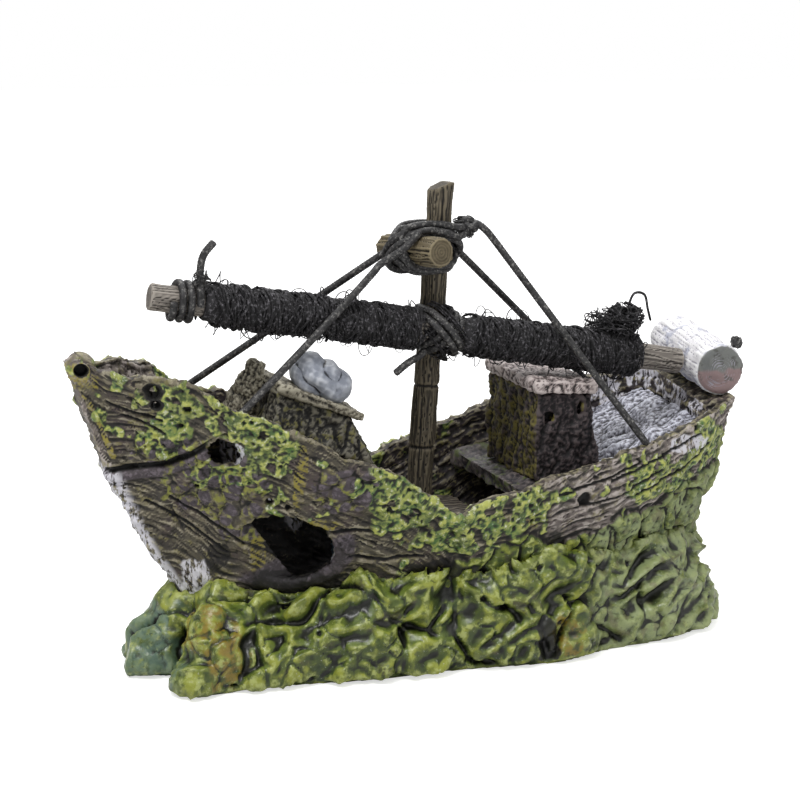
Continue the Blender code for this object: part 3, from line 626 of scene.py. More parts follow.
def lumps(p, size, seed, tall=1.0):
    """Rounded lumps, 0 to 1, that meet in creases, and how deep in a crease each point is."""
    bent = p + 0.3 * size * np.stack([noise(p, size, seed + k) for k in (1, 2, 3)], 1)
    near, lead, _ = cobbles(bent / np.array((1.0, 1.0, tall)), size, seed)
    return np.sqrt(np.clip(1.1 - near ** 2, 0, 1)), ramp(lead, 0.14, 0.0)


def flow_lines(x, below, warp):
    """The grain's own height: it runs with the rim, steeper down the bow."""
    across = below - 0.37 * np.clip(x + 60, -40, 0) * ramp(below, 8, 26) + 1.2 * warp
    return across + np.where(x > 20, 0.06 * (x - 20), 0)


def timber(p, x, across, side):
    """Grain, splits and plank seams along the flow lines."""
    flow = np.stack([x, across, side * 40], 1)
    streak = fbm(flow, (9, 1.15, 9), 3, 5)
    fibre = fbm(flow, (5, 1.0, 9), 1, 11)
    splits = ramp(abs(noise(flow, (15, 2.6, 9), 21)), 0.09, 0.0) * ramp(noise(p, 6, 22), -0.1, 0.3)
    q = across / 5.4
    seam = np.exp(-((q - np.round(q)) * 5.4 / 0.35) ** 2) * ramp(noise(flow, (12, 5, 9), 7), -0.2, 0.3)
    return 0.4 * streak + 0.16 * fibre - 0.7 * splits - 0.5 * seam


def port_marks(x, z, warp):
    """The port side's cracks, its long gash and its holes, each 0 to 1."""
    crack = np.zeros(len(x))
    for line in HULL_CRACKS:
        crack = np.maximum(crack, ramp(line_distance(x, z + 0.6 * warp, line), 0.65, 0.1))
    gash = ramp(line_distance(x, z + 0.3 * warp, BIG_CRACK), 1.2, 0.35)
    holes = np.zeros(len(x))
    for cx, cz, radius in HULL_HOLES:
        holes = np.maximum(holes, ramp(np.hypot(x - cx, z - cz) + 0.2 * warp, radius, 0.6 * radius))
    return crack, gash, holes


def hawse_gap(x, z):
    """How far outside the nearest hawse hole each point is."""
    return np.minimum.reduce([np.hypot(x - hx, z - hz) - radius for hx, hz, radius in HAWSES])


def narrow_hawses(skin, x, y, z, outer):
    """The two hawse holes in the port bow narrow to nothing at the wall's inner face."""
    for hx, hz, radius in HAWSES[1:]:
        gap = np.hypot(x - hx, z - hz)
        face = y[(outer > 0.5) & (gap < radius + 1.5) & (y < 0)].mean()
        deep = ramp(y - face, 1.0, 2.6) * (y < -2) * ramp(gap, radius + 0.35, radius + 0.1)
        skin.points[:, [0, 2]] -= (skin.points[:, [0, 2]] - (hx, hz)) * 0.97 * deep[:, None]


def round_bow_head(skin, x, z, warp, clear):
    """Draw the bow's top in to a rounded head that runs down into the stem, and lift it."""
    head, foot = np.array(BOW_HEAD[0]), np.array(BOW_HEAD[1])
    fall = np.clip((skin.points - head) @ (foot - head) / ((foot - head) @ (foot - head)), 0, 1)
    away = skin.points - head - fall[:, None] * (foot - head)
    reach = np.linalg.norm(away, axis=1)
    away /= reach[:, None]
    round_it = ramp(reach, 8.5, 5.5) * ramp((skin.normals * away).sum(1), 0.1, 0.5)
    round_it = np.maximum(round_it, ramp(x, -89.5, -92.0) * ramp(z, 82, 85))
    round_it *= ramp(clear, 0, 0.7)
    round_it *= 1 - 0.7 * fall
    skin.points += away * ((BOW_HEAD[2] + 0.7 * warp - reach) * 0.8 * round_it)[:, None]
    skin.points += ramp(x, -82, -91)[:, None] * ramp(z, 64, 78)[:, None] * np.array(HEAD_LIFT)


def stern_softness(x, y):
    """0 over most of the length, and 1 towards the stern, where the moss is greyer and softer."""
    return ramp(x + 0.4 * abs(y), 40, 62)


def shape_hull(skin):
    """Timber, moss, painted stones, cracks, a ragged rim and the rock that climbs the sides."""
    p = skin.points.copy()
    x, y, z = p.T
    side = np.where(y < 0, -1.0, 1.0)
    port = side < 0
    rim = np.where(port, np.interp(x, *rim_heights(p, -1)), np.interp(x, *rim_heights(p, 1)))
    below = rim - z
    outward = unit(np.stack([x - np.clip(x, -60, 64), y], 1))
    outer = ramp((outward * skin.normals[:, :2]).sum(1), -0.05, 0.3)
    top = ramp(skin.normals[:, 2], 0.5, 0.85) * ramp(below, 6.0, 2.0)
    inside = (1 - outer) * (1 - top)
    warp = fbm(p, 11, 2, 3)
    across = flow_lines(x, below, warp)
    wood = timber(p, x, across, side)
    ragged = 0.4 * fbm(p, 5, 3, 41)
    rock_line = np.interp(x + np.where(port, 0, 3), *np.array(ROCK_LINE).T)
    low = ramp(rock_line + 3.0 * fbm(p, 8, 3, 44) - z, -0.6, 0.8) * outer
    moss = spots(x, z, MOSS_SPOTS, ragged)
    moss = np.where(port, moss, spots(x + 4, z, MOSS_SPOTS, ragged + 0.1 * warp))
    moss *= ramp(fbm(p, 4.4, 3, 46), -0.5, -0.1)
    moss = np.maximum(moss, ramp(fbm(p, 6, 3, 43), 0.3, 0.55) * ramp(below, 34, 20))
    moss = moss * outer * (1 - low)
    # Painted shade: the hold under the foredeck is painted dark, with no moss on it.
    hold_shade = inside * ramp(z, 56, 50) * ramp(x, -4, -14) * ramp(x, -74, -68)
    grown = inside * ramp(fbm(p, 8, 3, 47), 0.1, 0.4) * ramp(x, 40, 10)
    moss = np.maximum(moss, 0.8 * grown * (1 - hold_shade))
    zone = spots(x, z, COBBLE_SPOTS, ragged) * outer * (1 - low)
    near, lead, tag = cobbles(p + 0.8 * noise(p, 4, 60)[:, None], 3.7, 61)
    dome = np.sqrt(np.clip(1 - (near / 0.75) ** 2, 0, 1))
    stone = zone * ramp(lead, 0.06, 0.2) * ramp(tag, 0.2, 0.35)
    lace = zone * ramp(lead, 0.3, 0.1) * ramp(fbm(p, 7, 2, 63), -0.3, 0.1)
    pit_near, _, pit_tag = cobbles(p, 2.4, 71)
    pits = ramp(pit_near, 0.32, 0.14) * ramp(pit_tag, 0.45, 0.55)
    crack, gash, holes = (port * outer * mark for mark in port_marks(x, z, warp))
    band = outer * port * ramp(line_distance(x, z + 1.9, BIG_CRACK), 1.7, 0.9)
    clear = hawse_gap(x, z)
    # Painted shade: the hawse holes, drawn shut at the inner face, are painted near black inside.
    hole_shade = port * ramp(clear, 0.3, 0.0)
    cx, cz, wide, high = OPENING
    reach_in = np.hypot((x - cx) / wide, (z - cz) / high)
    lip = outer * port * ramp(reach_in, 1.4, 1.2) * ramp((x - cx) / wide - 1.3 * (z - cz) / high, 0.1, 0.8)
    strip = outer * port * ramp(line_distance(x, z, STEM_STRIP), 1.9, 1.1)
    edge_strip = outer * port * ramp(line_distance(x, z, STEM_EDGE), 1.1, 0.4) * ramp(ragged, -0.3, 0.0)
    big, crease = lumps(p, 9.0, 101, 1.5)
    bare = (1 - 0.8 * moss) * (1 - 0.85 * zone) * (1 - low)
    bare *= (1 - 0.8 * band) * (1 - 0.8 * lip) * (1 - 0.6 * strip)
    offset = outer * (0.8 * fbm(p, 17, 2, 1) + 0.5 * fbm(p, 6, 2, 2) * (1 - low) + bare * wood)
    offset += moss * (0.5 + 0.9 * fbm(p, 3.3, 3, 51) - 0.9 * pits)
    offset += 0.5 * band + 0.9 * lip + 0.5 * edge_strip
    offset += zone * (1.0 * (dome - 0.5) + 0.3 * lace)
    offset += low * (0.9 + 2.0 * (big - 0.6) - 1.2 * crease + 0.6 * fbm(p, 3, 3, 53))
    offset -= 1.0 * crack + (1.6 + 0.8 * fbm(p, 5, 2, 66)) * gash + 1.6 * holes
    offset += inside * (0.9 * fbm(p, 5, 3, 81) + wood) + top * 0.7 * fbm(p, 2.6, 2, 91)
    skin.push(offset * (1 - port * ramp(clear, 0.6, 0.1)))
    narrow_hawses(skin, x, y, z, outer)
    edge = np.stack([x, side * 30, 0 * x], 1)
    skin.points[:, 2] += ramp(below, 7, 1) * ramp(x, -91, -85) * (1.2 * fbm(edge, 7, 3, 93) + 0.1)
    skin.points[:, 2] += 1.8 * ramp(below, 6, 1) * ramp(y, 1, 5) * ramp(abs(x + 77), 12, 6)
    round_bow_head(skin, x, z, warp, clear)
    stem = ramp(x + 0.62 * (z - 20) + 3 * ragged, -60.0, -61.2) * ramp(z, 60, 54) * ramp(abs(y), 6.4, 4.4)
    pale = np.maximum(spots(x, z, PALE_SPOTS, ragged) * outer * port, stem * outer)
    inner = inside * ramp(skin.normals[:, 1] * side, 0.25, -0.05)
    pale = np.maximum(pale, inner * ramp(x, 44, 58) * ramp(fbm(p, 4, 3, 97), -0.4, 0.1))
    # Painted light: pale patches on the inner walls seen through the eye hole, and dimmer painted glints
    # inside the big opening.
    pale = np.maximum(pale, inside * spots(x, z, [(-47, 53, 4, 6), (-56, 62.5, 2.2, 3.5)], ragged))
    pale = np.maximum(pale, 0.7 * inside * spots(x, z, [(-29, 33, 4, 6)], ragged))
    pale *= 1 - ramp(reach_in, 1.25, 1.0) * outer
    # Painted shade: the shadow spots low on the port side and the dark hold.
    shade = np.maximum(spots(x, z, SHADOW_SPOTS, ragged) * outer * port, hold_shade * (1 - pale))
    stone = np.maximum.reduce([stone, band, lip])
    # The big opening's lower lip takes some painted shade too.
    shade = np.maximum(shade, 0.45 * lip)
    blush = np.maximum(outer * ramp(x, 14, 34) * (1 - low) * (1 - 0.8 * moss), 0.9 * strip)
    far_rim = inside * ramp(y, 0.5, 2.5) * ramp(x, -60, -66) * ramp(below, 9, 6)
    blush = np.maximum.reduce([blush, far_rim, 0.8 * outer * ramp(x, -87, -91) * ramp(z, 75, 80)])
    inside = inside * (1 - far_rim)
    moss = moss * (1 - band) * (1 - lip) * (1 - strip) * ramp(clear, 0, 0.8)
    ochre = np.maximum(spots(x, z, OCHRE_SPOTS, ragged) * outer, edge_strip)
    # The up mark lights the tops of the moss as painted light.
    skin.marks.update(moss=moss * (1 - 0.9 * stone), stone=stone, inside=inside, pale=pale, low=low,
                      lace=lace, shade=shade, blush=blush, ochre=ochre, soft=stern_softness(x, y),
                      up=np.clip(skin.normals[:, 2], 0, 1),
                      dark=np.maximum.reduce([crack, gash, holes, hole_shade]))


def make_hull():
    """The hull's visible shell in four parts."""
    skin = Skin("hull_shell", 0.5)
    shape_hull(skin)
    show_in_parts(skin, hull_paint(), "weathered_hull", [
        ("hull_port_bow", lambda m: (m[:, 1] < 0) & (m[:, 0] < HULL_SPLIT)),
        ("hull_port_stern", lambda m: (m[:, 1] < 0) & (m[:, 0] >= HULL_SPLIT)),
        ("hull_starboard_bow", lambda m: (m[:, 1] >= 0) & (m[:, 0] < HULL_SPLIT)),
        ("hull_starboard_stern", lambda m: (m[:, 1] >= 0) & (m[:, 0] >= HULL_SPLIT))])


def facing(skin, node, near=2.0):
    """1 where the skin lies close to another node and faces it."""
    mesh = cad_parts[node].data
    tree = BVHTree.FromPolygons([v.co / MM for v in mesh.vertices], [f.vertices[:] for f in mesh.polygons])
    found = [tree.find_nearest(Vector(p), near) for p in skin.points]
    target = np.array([p if hit[0] is None else hit[0] for p, hit in zip(skin.points, found)])
    return ramp((unit(target - skin.points) * skin.normals).sum(1), 0.2, 0.5)


def make_rock():
    """The rock: melted folds, lumps and pits, on its flat underside."""
    skin = Skin("rock_base", 0.6)
    p = skin.points.copy()
    x, y, z = p.T
    soft = stern_softness(x, y)
    big, crevice = lumps(p, 17.0, 3, 1.3)
    small, crease = lumps(p, 7.5, 9, 1.0)
    run = np.stack([x + 0.6 * z, y, z - 0.5 * x], 1)
    folds = 1.0 - 2.4 * abs(fbm(run, (22, 22, 10), 2, 13))
    crumple = abs(fbm(p, 8.0, 2, 17))
    near, _, tag = cobbles(p, 8.0, 21)
    pits = ramp(near, 0.17, 0.1) * ramp(tag, 0.45, 0.5)
    standing = ramp(z, 0.2, 2.2) * ramp(skin.normals[:, 2], -0.8, -0.3)
    standing *= 1 - facing(skin, "hull_shell")
    broken = ramp(noise(p, 9, 4), -0.1, 0.3)
    shape = 6.0 * (big - 0.66) - 2.8 * crevice * broken + 1.0 * (small - 0.6) - 0.7 * crease * (1 - broken)
    shape = shape * (1 - 0.4 * soft) + 2.2 * folds + 0.8 * crumple + 0.2 * fbm(p, 2.4, 2, 8) + 0.2
    skin.push(standing * (shape - 2.0 * pits))
    skin.points[:, 2] += standing * ramp(z, 9, 22) * 4.2 * fbm(p * (1, 1, 0), 15, 2, 15)
    skin.points[:, 2] = np.where(z < 0.35, z, np.maximum(skin.points[:, 2], 0.05))
    ragged = 0.4 * fbm(p, 5, 3, 31)
    # Painted shade: a black niche low on the rock's port side.
    niche_shade = spots(x, z, [(24, 6, 3, 7)], ragged) * (y < -20)
    skin.turn()
    # The up mark lights the tops of the moss as painted light.
    skin.marks.update(soft=soft, up=np.clip(skin.normals[:, 2], 0, 1),
                      dark=standing * np.maximum(pits, niche_shade), teal=spots(x, z, [(-79, 9, 9, 14)], ragged),
                      ochre=spots(x, z, [(-62, 9, 6, 8), (30, 8, 4, 6)], ragged))
    show("mossy_rock_body", skin, rock_paint(), "mossy_rock")


# ---------------------------------------------------------------- the rest of the resin


def make_resin(node, name, slot, mat, voxel, shape, marks=None):
    """A cast piece: the skin over its node, marked and then pushed by functions of points and normals."""
    skin = Skin(node, voxel)
    if marks:
        skin.marks.update(marks(skin.points, skin.normals))
    skin.push(shape(skin.points, skin.normals))
    show(name, skin, mat, slot)


def planked(width, along=0, seed=0, deep=0.5):
    """A shaping function: planks of a width that run along an axis, with grain."""
    def shape(p, n):
        across = p[:, 1 - along] + 0.4 * noise(p, 12, seed)
        q = across / width
        seam = np.exp(-((q - np.round(q)) * width / 0.32) ** 2)
        flow = np.stack([p[:, along] / 9, across / 0.9, p[:, 2] / 6], 1)
        return 0.3 * fbm(flow, 1.0, 3, seed) + 0.35 * fbm(p, 5, 2, seed + 9) - deep * seam
    return shape


def lumpy(size, height, seed, squash=(1, 1, 1)):
    """A shaping function: rounded lumps with creases between them and finer roughness."""
    def shape(p, n):
        q = p / np.array(squash)
        creased = 1.6 * abs(noise(q, size, seed)) - 0.5
        return (height * creased + 0.45 * height * fbm(p, size / 2.2, 3, seed + 5)
                + 0.2 * fbm(p, 1.0, 2, seed + 8))
    return shape


def make_fittings():
    """Decks, bow block with its rim, boulder and post, cabin and roof."""
    deck = plain_paint("old_deck_paint", (64, 57, 52), (150, 140, 124), (14, 12, 11), 0.7, extra=[
        # Painted shade: near black where the hawse holes meet the foredeck.
        ((9, 8, 8), 0.97, ("hole_shade", 0.2, 0.8))])
    make_resin("foredeck", "foredeck_planks", "old_deck", deck, 0.5, planked(4.4, seed=3),
               lambda p, n: {"hole_shade": ramp(hawse_gap(p[:, 0], p[:, 2]), 0.6, 0.2)})
    make_resin("main_deck", "main_deck_planks", "old_deck", deck, 0.5, planked(4.4, seed=4))
    pale = plain_paint("bleached_deck_paint", (134, 134, 146), (222, 224, 236), (40, 38, 44), 0.6, extra=[
        ((66, 56, 52), 0.9, ("fore", 0.3, 0.8)),
        ((140, 126, 120), 0.6, ("fore", 0.3, 0.8), ("high", 0.2, 0.9), (2.0, 0.4, 0.6)),
        ((84, 96, 40), 0.8, ("fore", 0.3, 0.8), (5.0, 0.5, 0.6))])
    make_resin("aft_deck", "aft_deck_stones", "bleached_deck", pale, 0.5, lumpy(8.0, 1.1, 13, (1.6, 1, 1)),
               lambda p, n: {"fore": ramp(p[:, 0] + 3 * fbm(p, 6, 2, 14), 56, 46)})
    block = plain_paint("bow_block_paint", (53, 51, 46), (130, 126, 112), (12, 11, 9), 0.66, extra=[
        ((120, 116, 40), 0.6, (4.0, 0.52, 0.62), ("high", -0.2, 0.4))])
    make_resin("hatch_house", "bow_block", "olive_timber", block, 0.4, lumpy(4.0, 0.9, 23, (1, 1, 2.2)))
    rim = plain_paint("block_rim_paint", (98, 92, 78), (186, 180, 160), (20, 18, 15), 0.66)
    make_resin("hatch_rim", "block_rim", "grey_timber", rim, 0.35, lumpy(5.0, 0.6, 27, (2, 2, 1)))
    stone = plain_paint("boulder_paint", (160, 166, 180), (240, 244, 252), (26, 26, 34), 0.34, extra=[
        ((104, 104, 60), 0.5, (7.0, 0.58, 0.66))])
    make_resin("hatch_boulder", "boulder", "silver_boulder", stone, 0.35,
               lambda p, n: 2.6 * abs(noise(p, 9.5, 33)) - 0.8 + 0.35 * fbm(p, 4, 2, 38))
    make_resin("broken_post", "post_stump", "olive_timber", rim, 0.3, lumpy(3.4, 0.9, 37, (1, 1, 3)))
    cabin = plain_paint("cabin_paint", (37, 30, 34), (86, 76, 76), (9, 7, 8), 0.66, extra=[
        ((120, 112, 44), 0.75, ("front", 0.3, 0.8), (3.0, 0.4, 0.58))])
    make_resin("aft_cabin", "cabin_walls", "brown_cabin", cabin, 0.35, lumpy(3.6, 1.0, 43, (1, 1, 2.4)),
               lambda p, n: {"front": ramp(-n[:, 0], 0.4, 0.8)})
    roof = plain_paint("roof_paint", (140, 126, 124), (222, 210, 206), (28, 24, 22), 0.62)
    make_resin("cabin_roof", "worn_roof_slab", "worn_roof", roof, 0.4, lumpy(4.4, 0.7, 47))


# ---------------------------------------------------------------- sticks


def bar_line(bar):
    """A bar's first end and its direction."""
    start, end = np.array(bar[0]), np.array(bar[1])
    return start, (end - start) / np.linalg.norm(end - start)


def grain(stick, groove, seed, notches=(), ends=0.05):
    """A shaping function for a round bar: long grooves, rings cut round it and growth rings on its ends."""
    start, axis = bar_line(stick)

    def shape(p, n):
        along = (p - start) @ axis
        radial = p - start - along[:, None] * axis
        reach = np.linalg.norm(radial, axis=1)
        long = radial / 0.9 + along[:, None] * axis / 16
        flank = 1 - ramp(abs(n @ axis), 0.6, 0.85)
        split = ramp(abs(noise(long, (1.0, 1.0, 1.0), seed + 3)), 0.12, 0.0)
        grooves = groove * fbm(long, 1.0, 2, seed) - 1.3 * groove * split
        offset = flank * (grooves + 0.25 * noise(p, 7, seed + 5))
        rings = np.sin(2 * math.pi * (reach + 0.3 * noise(p, 2.5, seed + 7)) / 0.8)
        offset += (1 - flank) * ends * rings
        for height in notches:
            offset -= 0.45 * np.exp(-((p[:, 2] - height - 0.3 * noise(p, 3, seed)) / 0.45) ** 2)
        return offset
    return shape


def make_sticks():
    """Mast, crosspiece, boom and stern log."""
    up = (1, 1, 9)
    mast = plain_paint("mast_paint", (62, 56, 46), (126, 116, 96), (16, 14, 12), 0.72, up)
    make_resin("mast", "mast_stick", "mast_wood", mast, 0.35, grain(MAST, 0.3, 51, MAST_NOTCHES))
    cross = plain_paint("crosspiece_paint", (84, 74, 54), (146, 134, 106), (24, 20, 15), 0.7, (2, 8, 1))
    make_resin("mast_crosspiece", "crosspiece_stick", "crosspiece_wood", cross, 0.3,
               grain(CROSSPIECE, 0.28, 55))
    boom = plain_paint("boom_paint", (104, 98, 92), (176, 168, 158), (36, 32, 30), 0.75, (9, 1, 1))
    make_resin("boom", "boom_stick", "boom_wood", boom, 0.35, grain(BOOM, 0.26, 59))
    log = plain_paint("log_paint", (238, 236, 240), (255, 255, 255), (168, 166, 178), 0.5, (1, 6, 1), extra=[
        ((176, 180, 200), 0.8, (7.0, 0.52, 0.62)),
        ((100, 103, 98), 0.92, ("face", 0.3, 0.9)),
        ((150, 124, 124), 0.85, ("face", 0.3, 0.9), ("foot", 0.3, 0.8)),
        ((84, 84, 78), 0.8, ("face", 0.3, 0.9), (2.6, 0.54, 0.64))])
    shape = grain(STERN_LOG, 0.18, 63)
    make_resin("stern_log", "stern_log_body", "bleached_log", log, 0.4,
               lambda p, n: shape(p, n) + 0.8 * fbm(p, 8, 2, 65),
               lambda p, n: {"face": ramp(-n[:, 1], 0.4, 0.85),
                             "foot": ramp(p[:, 2] + 1.5 * fbm(p, 5, 2, 64), 75, 72)})


# ---------------------------------------------------------------- sail and rigging


def on_boom(along, angle, radius):
    """Points round the boom at distances from its fore end."""
    start, axis = bar_line(BOOM)
    out = np.array([0.0, -1.0, 0.0])
    ring = out * np.cos(angle)[:, None] + np.cross(axis, out) * np.sin(angle)[:, None]
    return start + axis * along[:, None] + ring * np.broadcast_to(radius, along.shape)[:, None]


def roll(begin, end, seed):
    """The body of a furled roll: a lumpy sleeve with wound ridges."""
    rows, cols = int((end - begin) / 0.4), 90
    around = np.linspace(0, 2 * math.pi, cols, endpoint=False)
    along, angle = np.meshgrid(np.linspace(begin, end, rows), around, indexing="ij")
    along, angle = along.ravel(), angle.ravel()
    unit = on_boom(along, angle, 5.0)
    wound = np.sin(angle + along * 2 * math.pi / 6.4 + 1.8 * noise(unit, 9, seed))
    radius = 4.9 + 0.4 * wound + 0.9 * fbm(unit, 5, 3, seed + 1)
    taper = np.clip(np.minimum(along - begin, end - along) / 2.5, 0, 1) ** 0.5
    radius = 3.9 + (radius - 3.9) * taper
    outward_faces = tube_faces(rows, cols)[:, [1, 0, 3, 2]]
    return on_boom(along, angle, radius), outward_faces


def wound_strands(begin, end, count, rng):
    """Thin threads wound loosely round a roll."""
    out = []
    for _ in range(count):
        length = rng.uniform(6, 22)
        at = rng.uniform(begin - 1, end - 0.3 * length)
        steps = np.arange(0, min(length, end + 1 - at), 0.35)
        if len(steps) < 6:
            continue
        pitch = rng.choice([-1, 1], p=[0.3, 0.7]) * rng.uniform(6, 17)
        along = at + steps + 0.5 * np.sin(steps * rng.uniform(0.6, 1.6) + rng.uniform(0, 6))
        angle = rng.uniform(0, 6.3) + steps * 2 * math.pi / pitch
        lift = 5.3 + 0.35 * np.sin(steps * rng.uniform(0.8, 2.5) + rng.uniform(0, 6))
        lift += rng.uniform(-0.2, 0.5)
        out.append(sweep(on_boom(along, angle, lift), rng.uniform(0.12, 0.42), 4))
    return out


def loose_loops(begin, end, count, rng, reach=(1.5, 4.0)):
    """Threads that stand off a roll in small arcs."""
    out = []
    for _ in range(count):
        at = rng.uniform(begin, end)
        span = rng.uniform(1.5, 5)
        high = rng.uniform(*reach)
        t = np.linspace(0, 1, 16)
        along = at + span * (t - 0.5) + 0.6 * np.sin(5 * t + rng.uniform(0, 6))
        angle = rng.uniform(0, 6.3) + rng.uniform(-0.7, 0.7) * t
        route = on_boom(along, angle, 5.0 + high * np.sin(math.pi * t) ** 0.8)
        out.append(sweep(route, rng.uniform(0.1, 0.17), 4))
    return out


def tangle(centre, size, count, rng, thick=(0.11, 0.2)):
    """A ball of curling threads."""
    out = []
    for _ in range(count):
        stops = unit(rng.normal(0, 0.5, (6, 3)), 1.0)
        out.append(sweep(spline(centre + stops * size, 0.5), rng.uniform(*thick), 4))
    return out


def make_sail():
    """Two rolls of fibre net wound on the boom, their tuft, and the threads round the mast."""
    rng = np.random.default_rng(7)
    fibre = cord_paint("fibre_paint", (36, 35, 37), (124, 121, 126), 0.8)
    for node, begin, end in (("furled_sail_fore", 14.0, 74.0), ("furled_sail_aft", 87.0, 141.0)):
        cords = [roll(begin, end, int(begin))]
        cords += wound_strands(begin, end, 230, rng)
        cords += loose_loops(begin + 2, end - 1, 70, rng)
        bundle(node + "_net", cords, fibre, "dark_fibre", node)
    low, high = box_mm("sail_tuft")
    centre, size = (low + high) / 2, (high - low) / 2
    cords = tangle(centre, size, 60, rng, (0.12, 0.34)) + tangle(centre + (-4, 0, -2), size * 1.3, 50, rng)
    cords += loose_loops(128, 141, 26, rng, (3.0, 7.0))
    hook = [centre + stop for stop in ((1, 0, 2), (3, 0, 6.6), (6.4, 0, 6.2), (7.6, 0, 2), (8.6, 0, -1.4))]
    cords.append(sweep(spline(hook, 0.3), 0.4, 6))
    bundle("sail_tuft_threads", cords, fibre, "dark_fibre", "sail_tuft")
    cords = []
    for _ in range(46):
        route = lashing_loop(BOOM, MAST, rng.choice([-1, 1]), 0.4, rng.uniform(-5, 5),
                             close=rng.uniform(0.3, 1.6))
        cords.append(sweep(route + 0.25 * rng.normal(0, 1, 3), rng.uniform(0.14, 0.3), 4))
    cords += loose_loops(70, 91, 24, rng, (1.0, 3.0))
    bundle("mast_crossing_threads", cords, fibre, "dark_fibre")
    return fibre


def make_stays(cord):
    """The four stays, run on into the windings at the masthead; the port after one arches over its knot."""
    heads = {"stay_port_fore": [(-7.0, -10.2, 111.6), (-2.2, -9.6, 115.8)],
             "stay_starboard_fore": [(-8.6, -1.0, 109.4), (-5.0, -4.6, 112.6)],
             "stay_port_aft": [(22.2, -4.6, 111.0), (19.4, -3.0, 114.8), (16.8, -1.6, 116.6),
                               (14.2, -1.2, 115.6)],
             "stay_starboard_aft": [(12.0, 1.5, 108.8), (8.6, -2.6, 111.5)]}
    for name, extra in heads.items():
        line = ring_centres(name)
        if name == "stay_port_aft":
            foot = line[:1]
            line = np.concatenate([foot, foot + (np.array(extra[:1]) - foot) * 0.9])
        route = np.concatenate([line, extra])
        bundle(name + "_cord", [rope(spline(route, 0.28))], cord, "waxed_cord", name)


def make_lashings(cord):
    """The windings at the masthead and the boom, with their tail and knots."""
    for place, sticks in (("masthead", (CROSSPIECE, MAST)), ("boom", (BOOM, MAST))):
        for layer, side, over in (("under", 1, 0.0), ("over", -1, 1.9)):
            node = f"{place}_lashing_{layer}"
            cords = [rope(lashing_loop(*sticks, side, over, shift, 1.01)) for shift in (-1.1, 1.1)]
            bundle(node + "_cord", cords, cord, "waxed_cord", node)
    low, high = box_mm("masthead_knot")
    centre = (low + high) / 2
    angle = np.linspace(0, 4.6 * math.pi, 60)
    c, s = np.cos(angle), np.sin(angle)
    turn = np.stack([1.9 * c - 0.8, 1.3 * s * np.cos(angle * 0.5), 1.7 * s], 1)
    rng = np.random.default_rng(19)
    cords = [rope(spline(centre + turn, 0.3)), rope(spline(centre + turn[:, [2, 0, 1]] * 0.9, 0.3))]
    cords += tangle(centre - (1.0, 0, 0.3), np.array([3.6, 3.0, 3.4]), 34, rng, (0.1, 0.24))
    for band in MASTHEAD_BANDS:
        cords.append(rope(spline([centre, *band], 0.3)))
    bundle("masthead_knot_cord", cords, cord, "waxed_cord", "masthead_knot")
    low, high = box_mm("boom_lashing_tail")
    upper, lower = np.array([high[0] - 1, low[1] + 1.8, high[2] - 1]), low + 1
    stops = [upper + (1.5, 0.5, 1.5), upper, (upper + lower) / 2 + (0, -0.3, 0.5), lower]
    bundle("boom_lashing_tail_cord", [rope(spline(stops, 0.28))], cord, "waxed_cord", "boom_lashing_tail")


def make_seizing(cord):
    """Three turns round the boom's fore end, and the cord's end that stands up."""
    turns, pitch, at = 3, 2.3, 12.6
    steps = np.linspace(0, turns, 90)
    radius = np.full(len(steps), BOOM[2] + CORD_R + 0.1)
    coil = on_boom(at - pitch * turns + pitch * steps, steps * 2 * math.pi, radius)
    last = coil[-1]
    tail = [last + stop for stop in ((0.3, 0.4, 3.0), (0.5, 1.8, 8.0), (1.5, 2.0, 12.5), (4.5, 2.0, 16.0))]
    route = np.concatenate([coil[:-1:4], [last], tail])
    rng = np.random.default_rng(29)
    cords = [rope(spline(route, 0.28))]
    cords += tangle(last + (0.8, 1.6, 6.0), np.array([2.6, 2.0, 3.4]), 14, rng)
    bundle("fore_seizing_cord", cords, cord, "waxed_cord", "fore_seizing")


def make_rigging():
    """Everything made of waxed cord."""
    cord = cord_paint("cord_paint", (52, 51, 52), (150, 148, 144), 0.5)
    make_stays(cord)
    make_lashings(cord)
    make_seizing(cord)
    make_resin("log_knot", "log_knot_stub", "waxed_cord", cord, 0.25, lumpy(1.6, 0.4, 71))


def make_air_line():
    """The hidden air line: the clear barbed inlet and tube, and the gritty stone."""
    plastic = Paint("plastic_paint", (196, 202, 204))
    plastic.layer((226, 230, 232), 0.6, (3.0, 0.45, 0.6))
    clear = plastic.finish(0.24, bumps=[(1.2, 0.04, (1, 1, 1))], IOR=1.45)
    for node in ("air_inlet", "air_tube"):
        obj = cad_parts[node]
        obj.data.materials.clear()
        obj.data.materials.append(clear)
    grit = plain_paint("grit_paint", (110, 138, 158), (176, 198, 212), (30, 40, 50), 0.9)
    make_resin("air_stone", "air_stone_grit", "air_stone_grit", grit, 0.3, lumpy(0.9, 0.35, 83))


# ---------------------------------------------------------------- studio


def make_camera():
    """Seen from a little above, off the port bow."""
    target = Vector((-4.5, 0.0, 68.0)) * MM
    azimuth, elevation = math.radians(-20.0), math.radians(12.0)
    back = Vector((math.sin(azimuth) * math.cos(elevation), -math.cos(azimuth) * math.cos(elevation),
                   math.sin(elevation)))
    data = bpy.data.cameras.new("camera")
    data.lens = 81.0
    data.sensor_width = 36.0
    data.clip_start = 0.01
    camera = bpy.data.objects.new("camera", data)
    camera.location = target + back * 0.5
    camera.rotation_euler = back.to_track_quat("Z", "Y").to_euler()
    bpy.context.scene.collection.objects.link(camera)
    bpy.context.scene.camera = camera


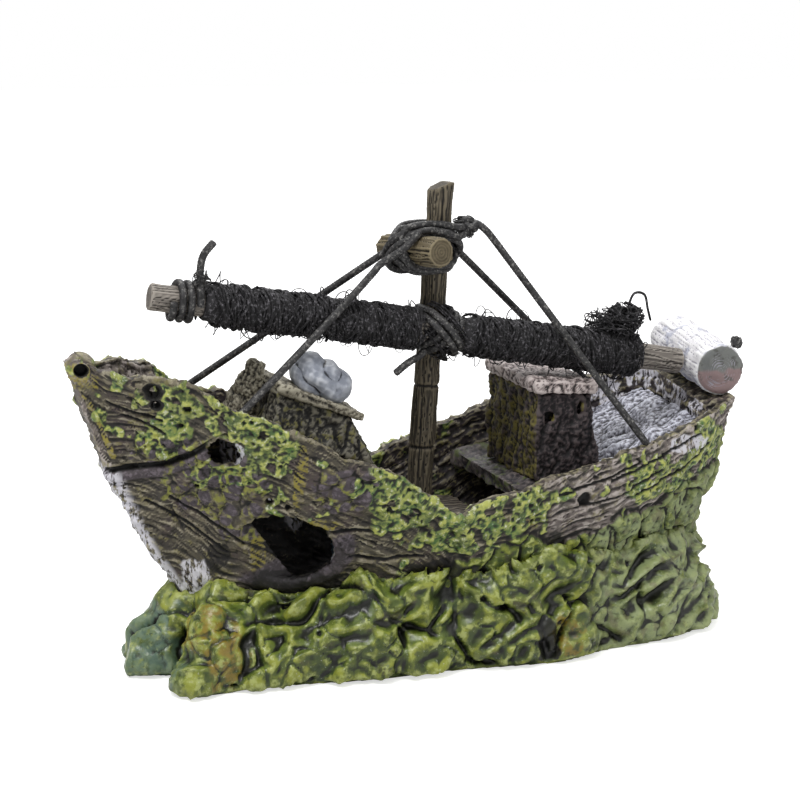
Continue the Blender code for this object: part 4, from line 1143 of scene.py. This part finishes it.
def add_lamp(name, place, energy, size):
    """A soft square light aimed at the object."""
    data = bpy.data.lights.new(name, "AREA")
    data.energy = energy
    data.size = size
    lamp = bpy.data.objects.new(name, data)
    lamp.location = place
    lamp.rotation_euler = Vector(place).to_track_quat("Z", "Y").to_euler()
    bpy.context.scene.collection.objects.link(lamp)


def seen_by_camera(tree):
    """1 where the camera sees the studio itself, and 0 where its light comes from."""
    return add_node(tree, "ShaderNodeLightPath").outputs["Is Camera Ray"]


def make_surround():
    """A white surround that lights from above, and is plain white where the camera sees it."""
    world = bpy.data.worlds.new("surround")
    bpy.context.scene.world = world
    world.use_nodes = True
    tree = world.node_tree
    place = add_node(tree, "ShaderNodeTexCoord").outputs["Generated"]
    up = add_node(tree, "ShaderNodeSeparateXYZ", {0: place})
    fade = add_node(tree, "ShaderNodeMapRange", {"Value": up.outputs["Z"], "From Min": -0.1,
                                                 "To Min": SKY_LOW, "To Max": SKY_HIGH})
    choose = add_node(tree, "ShaderNodeMix", {0: seen_by_camera(tree), 2: fade.outputs[0], 3: 1.0})
    background = tree.nodes["Background"]
    background.inputs["Color"].default_value = (1.0, 1.0, 1.0, 1.0)
    tree.links.new(choose.outputs[0], background.inputs["Strength"])


def make_studio():
    """A white floor, a white surround and three soft lights."""
    floor_paint = Paint("floor_paint", (236, 236, 236))
    floor_paint.layer((232, 232, 232), 0.5, (60.0, 0.4, 0.6))
    floor_mat = floor_paint.finish(0.8, Emission_Color=(1, 1, 1, 1))
    tree = floor_paint.tree
    glow = add_node(tree, "ShaderNodeMath", {0: seen_by_camera(tree), 1: FLOOR_GLOW}, operation="MULTIPLY")
    tree.links.new(glow.outputs[0], floor_paint.shader.inputs["Emission Strength"])
    corners = np.array([(-4000, -4000, -0.1), (4000, -4000, -0.1), (4000, 4000, -0.1), (-4000, 4000, -0.1)])
    add_mesh("floor", corners, np.array([[0, 1, 2, 3]]), floor_mat)
    make_surround()
    add_lamp("key", (-0.45, -0.35, 1.1), 7.0, 0.45)
    add_lamp("fill", (0.8, -0.8, 0.6), 1.5, 0.8)
    add_lamp("rim", (0.3, 0.8, 0.9), 6.0, 0.6)
    bpy.context.scene.view_settings.view_transform = "Standard"


def main():
    """Camera first, then every piece, then the studio."""
    make_camera()
    make_hull()
    make_rock()
    make_fittings()
    make_sticks()
    make_sail()
    make_rigging()
    make_air_line()
    make_studio()


main()
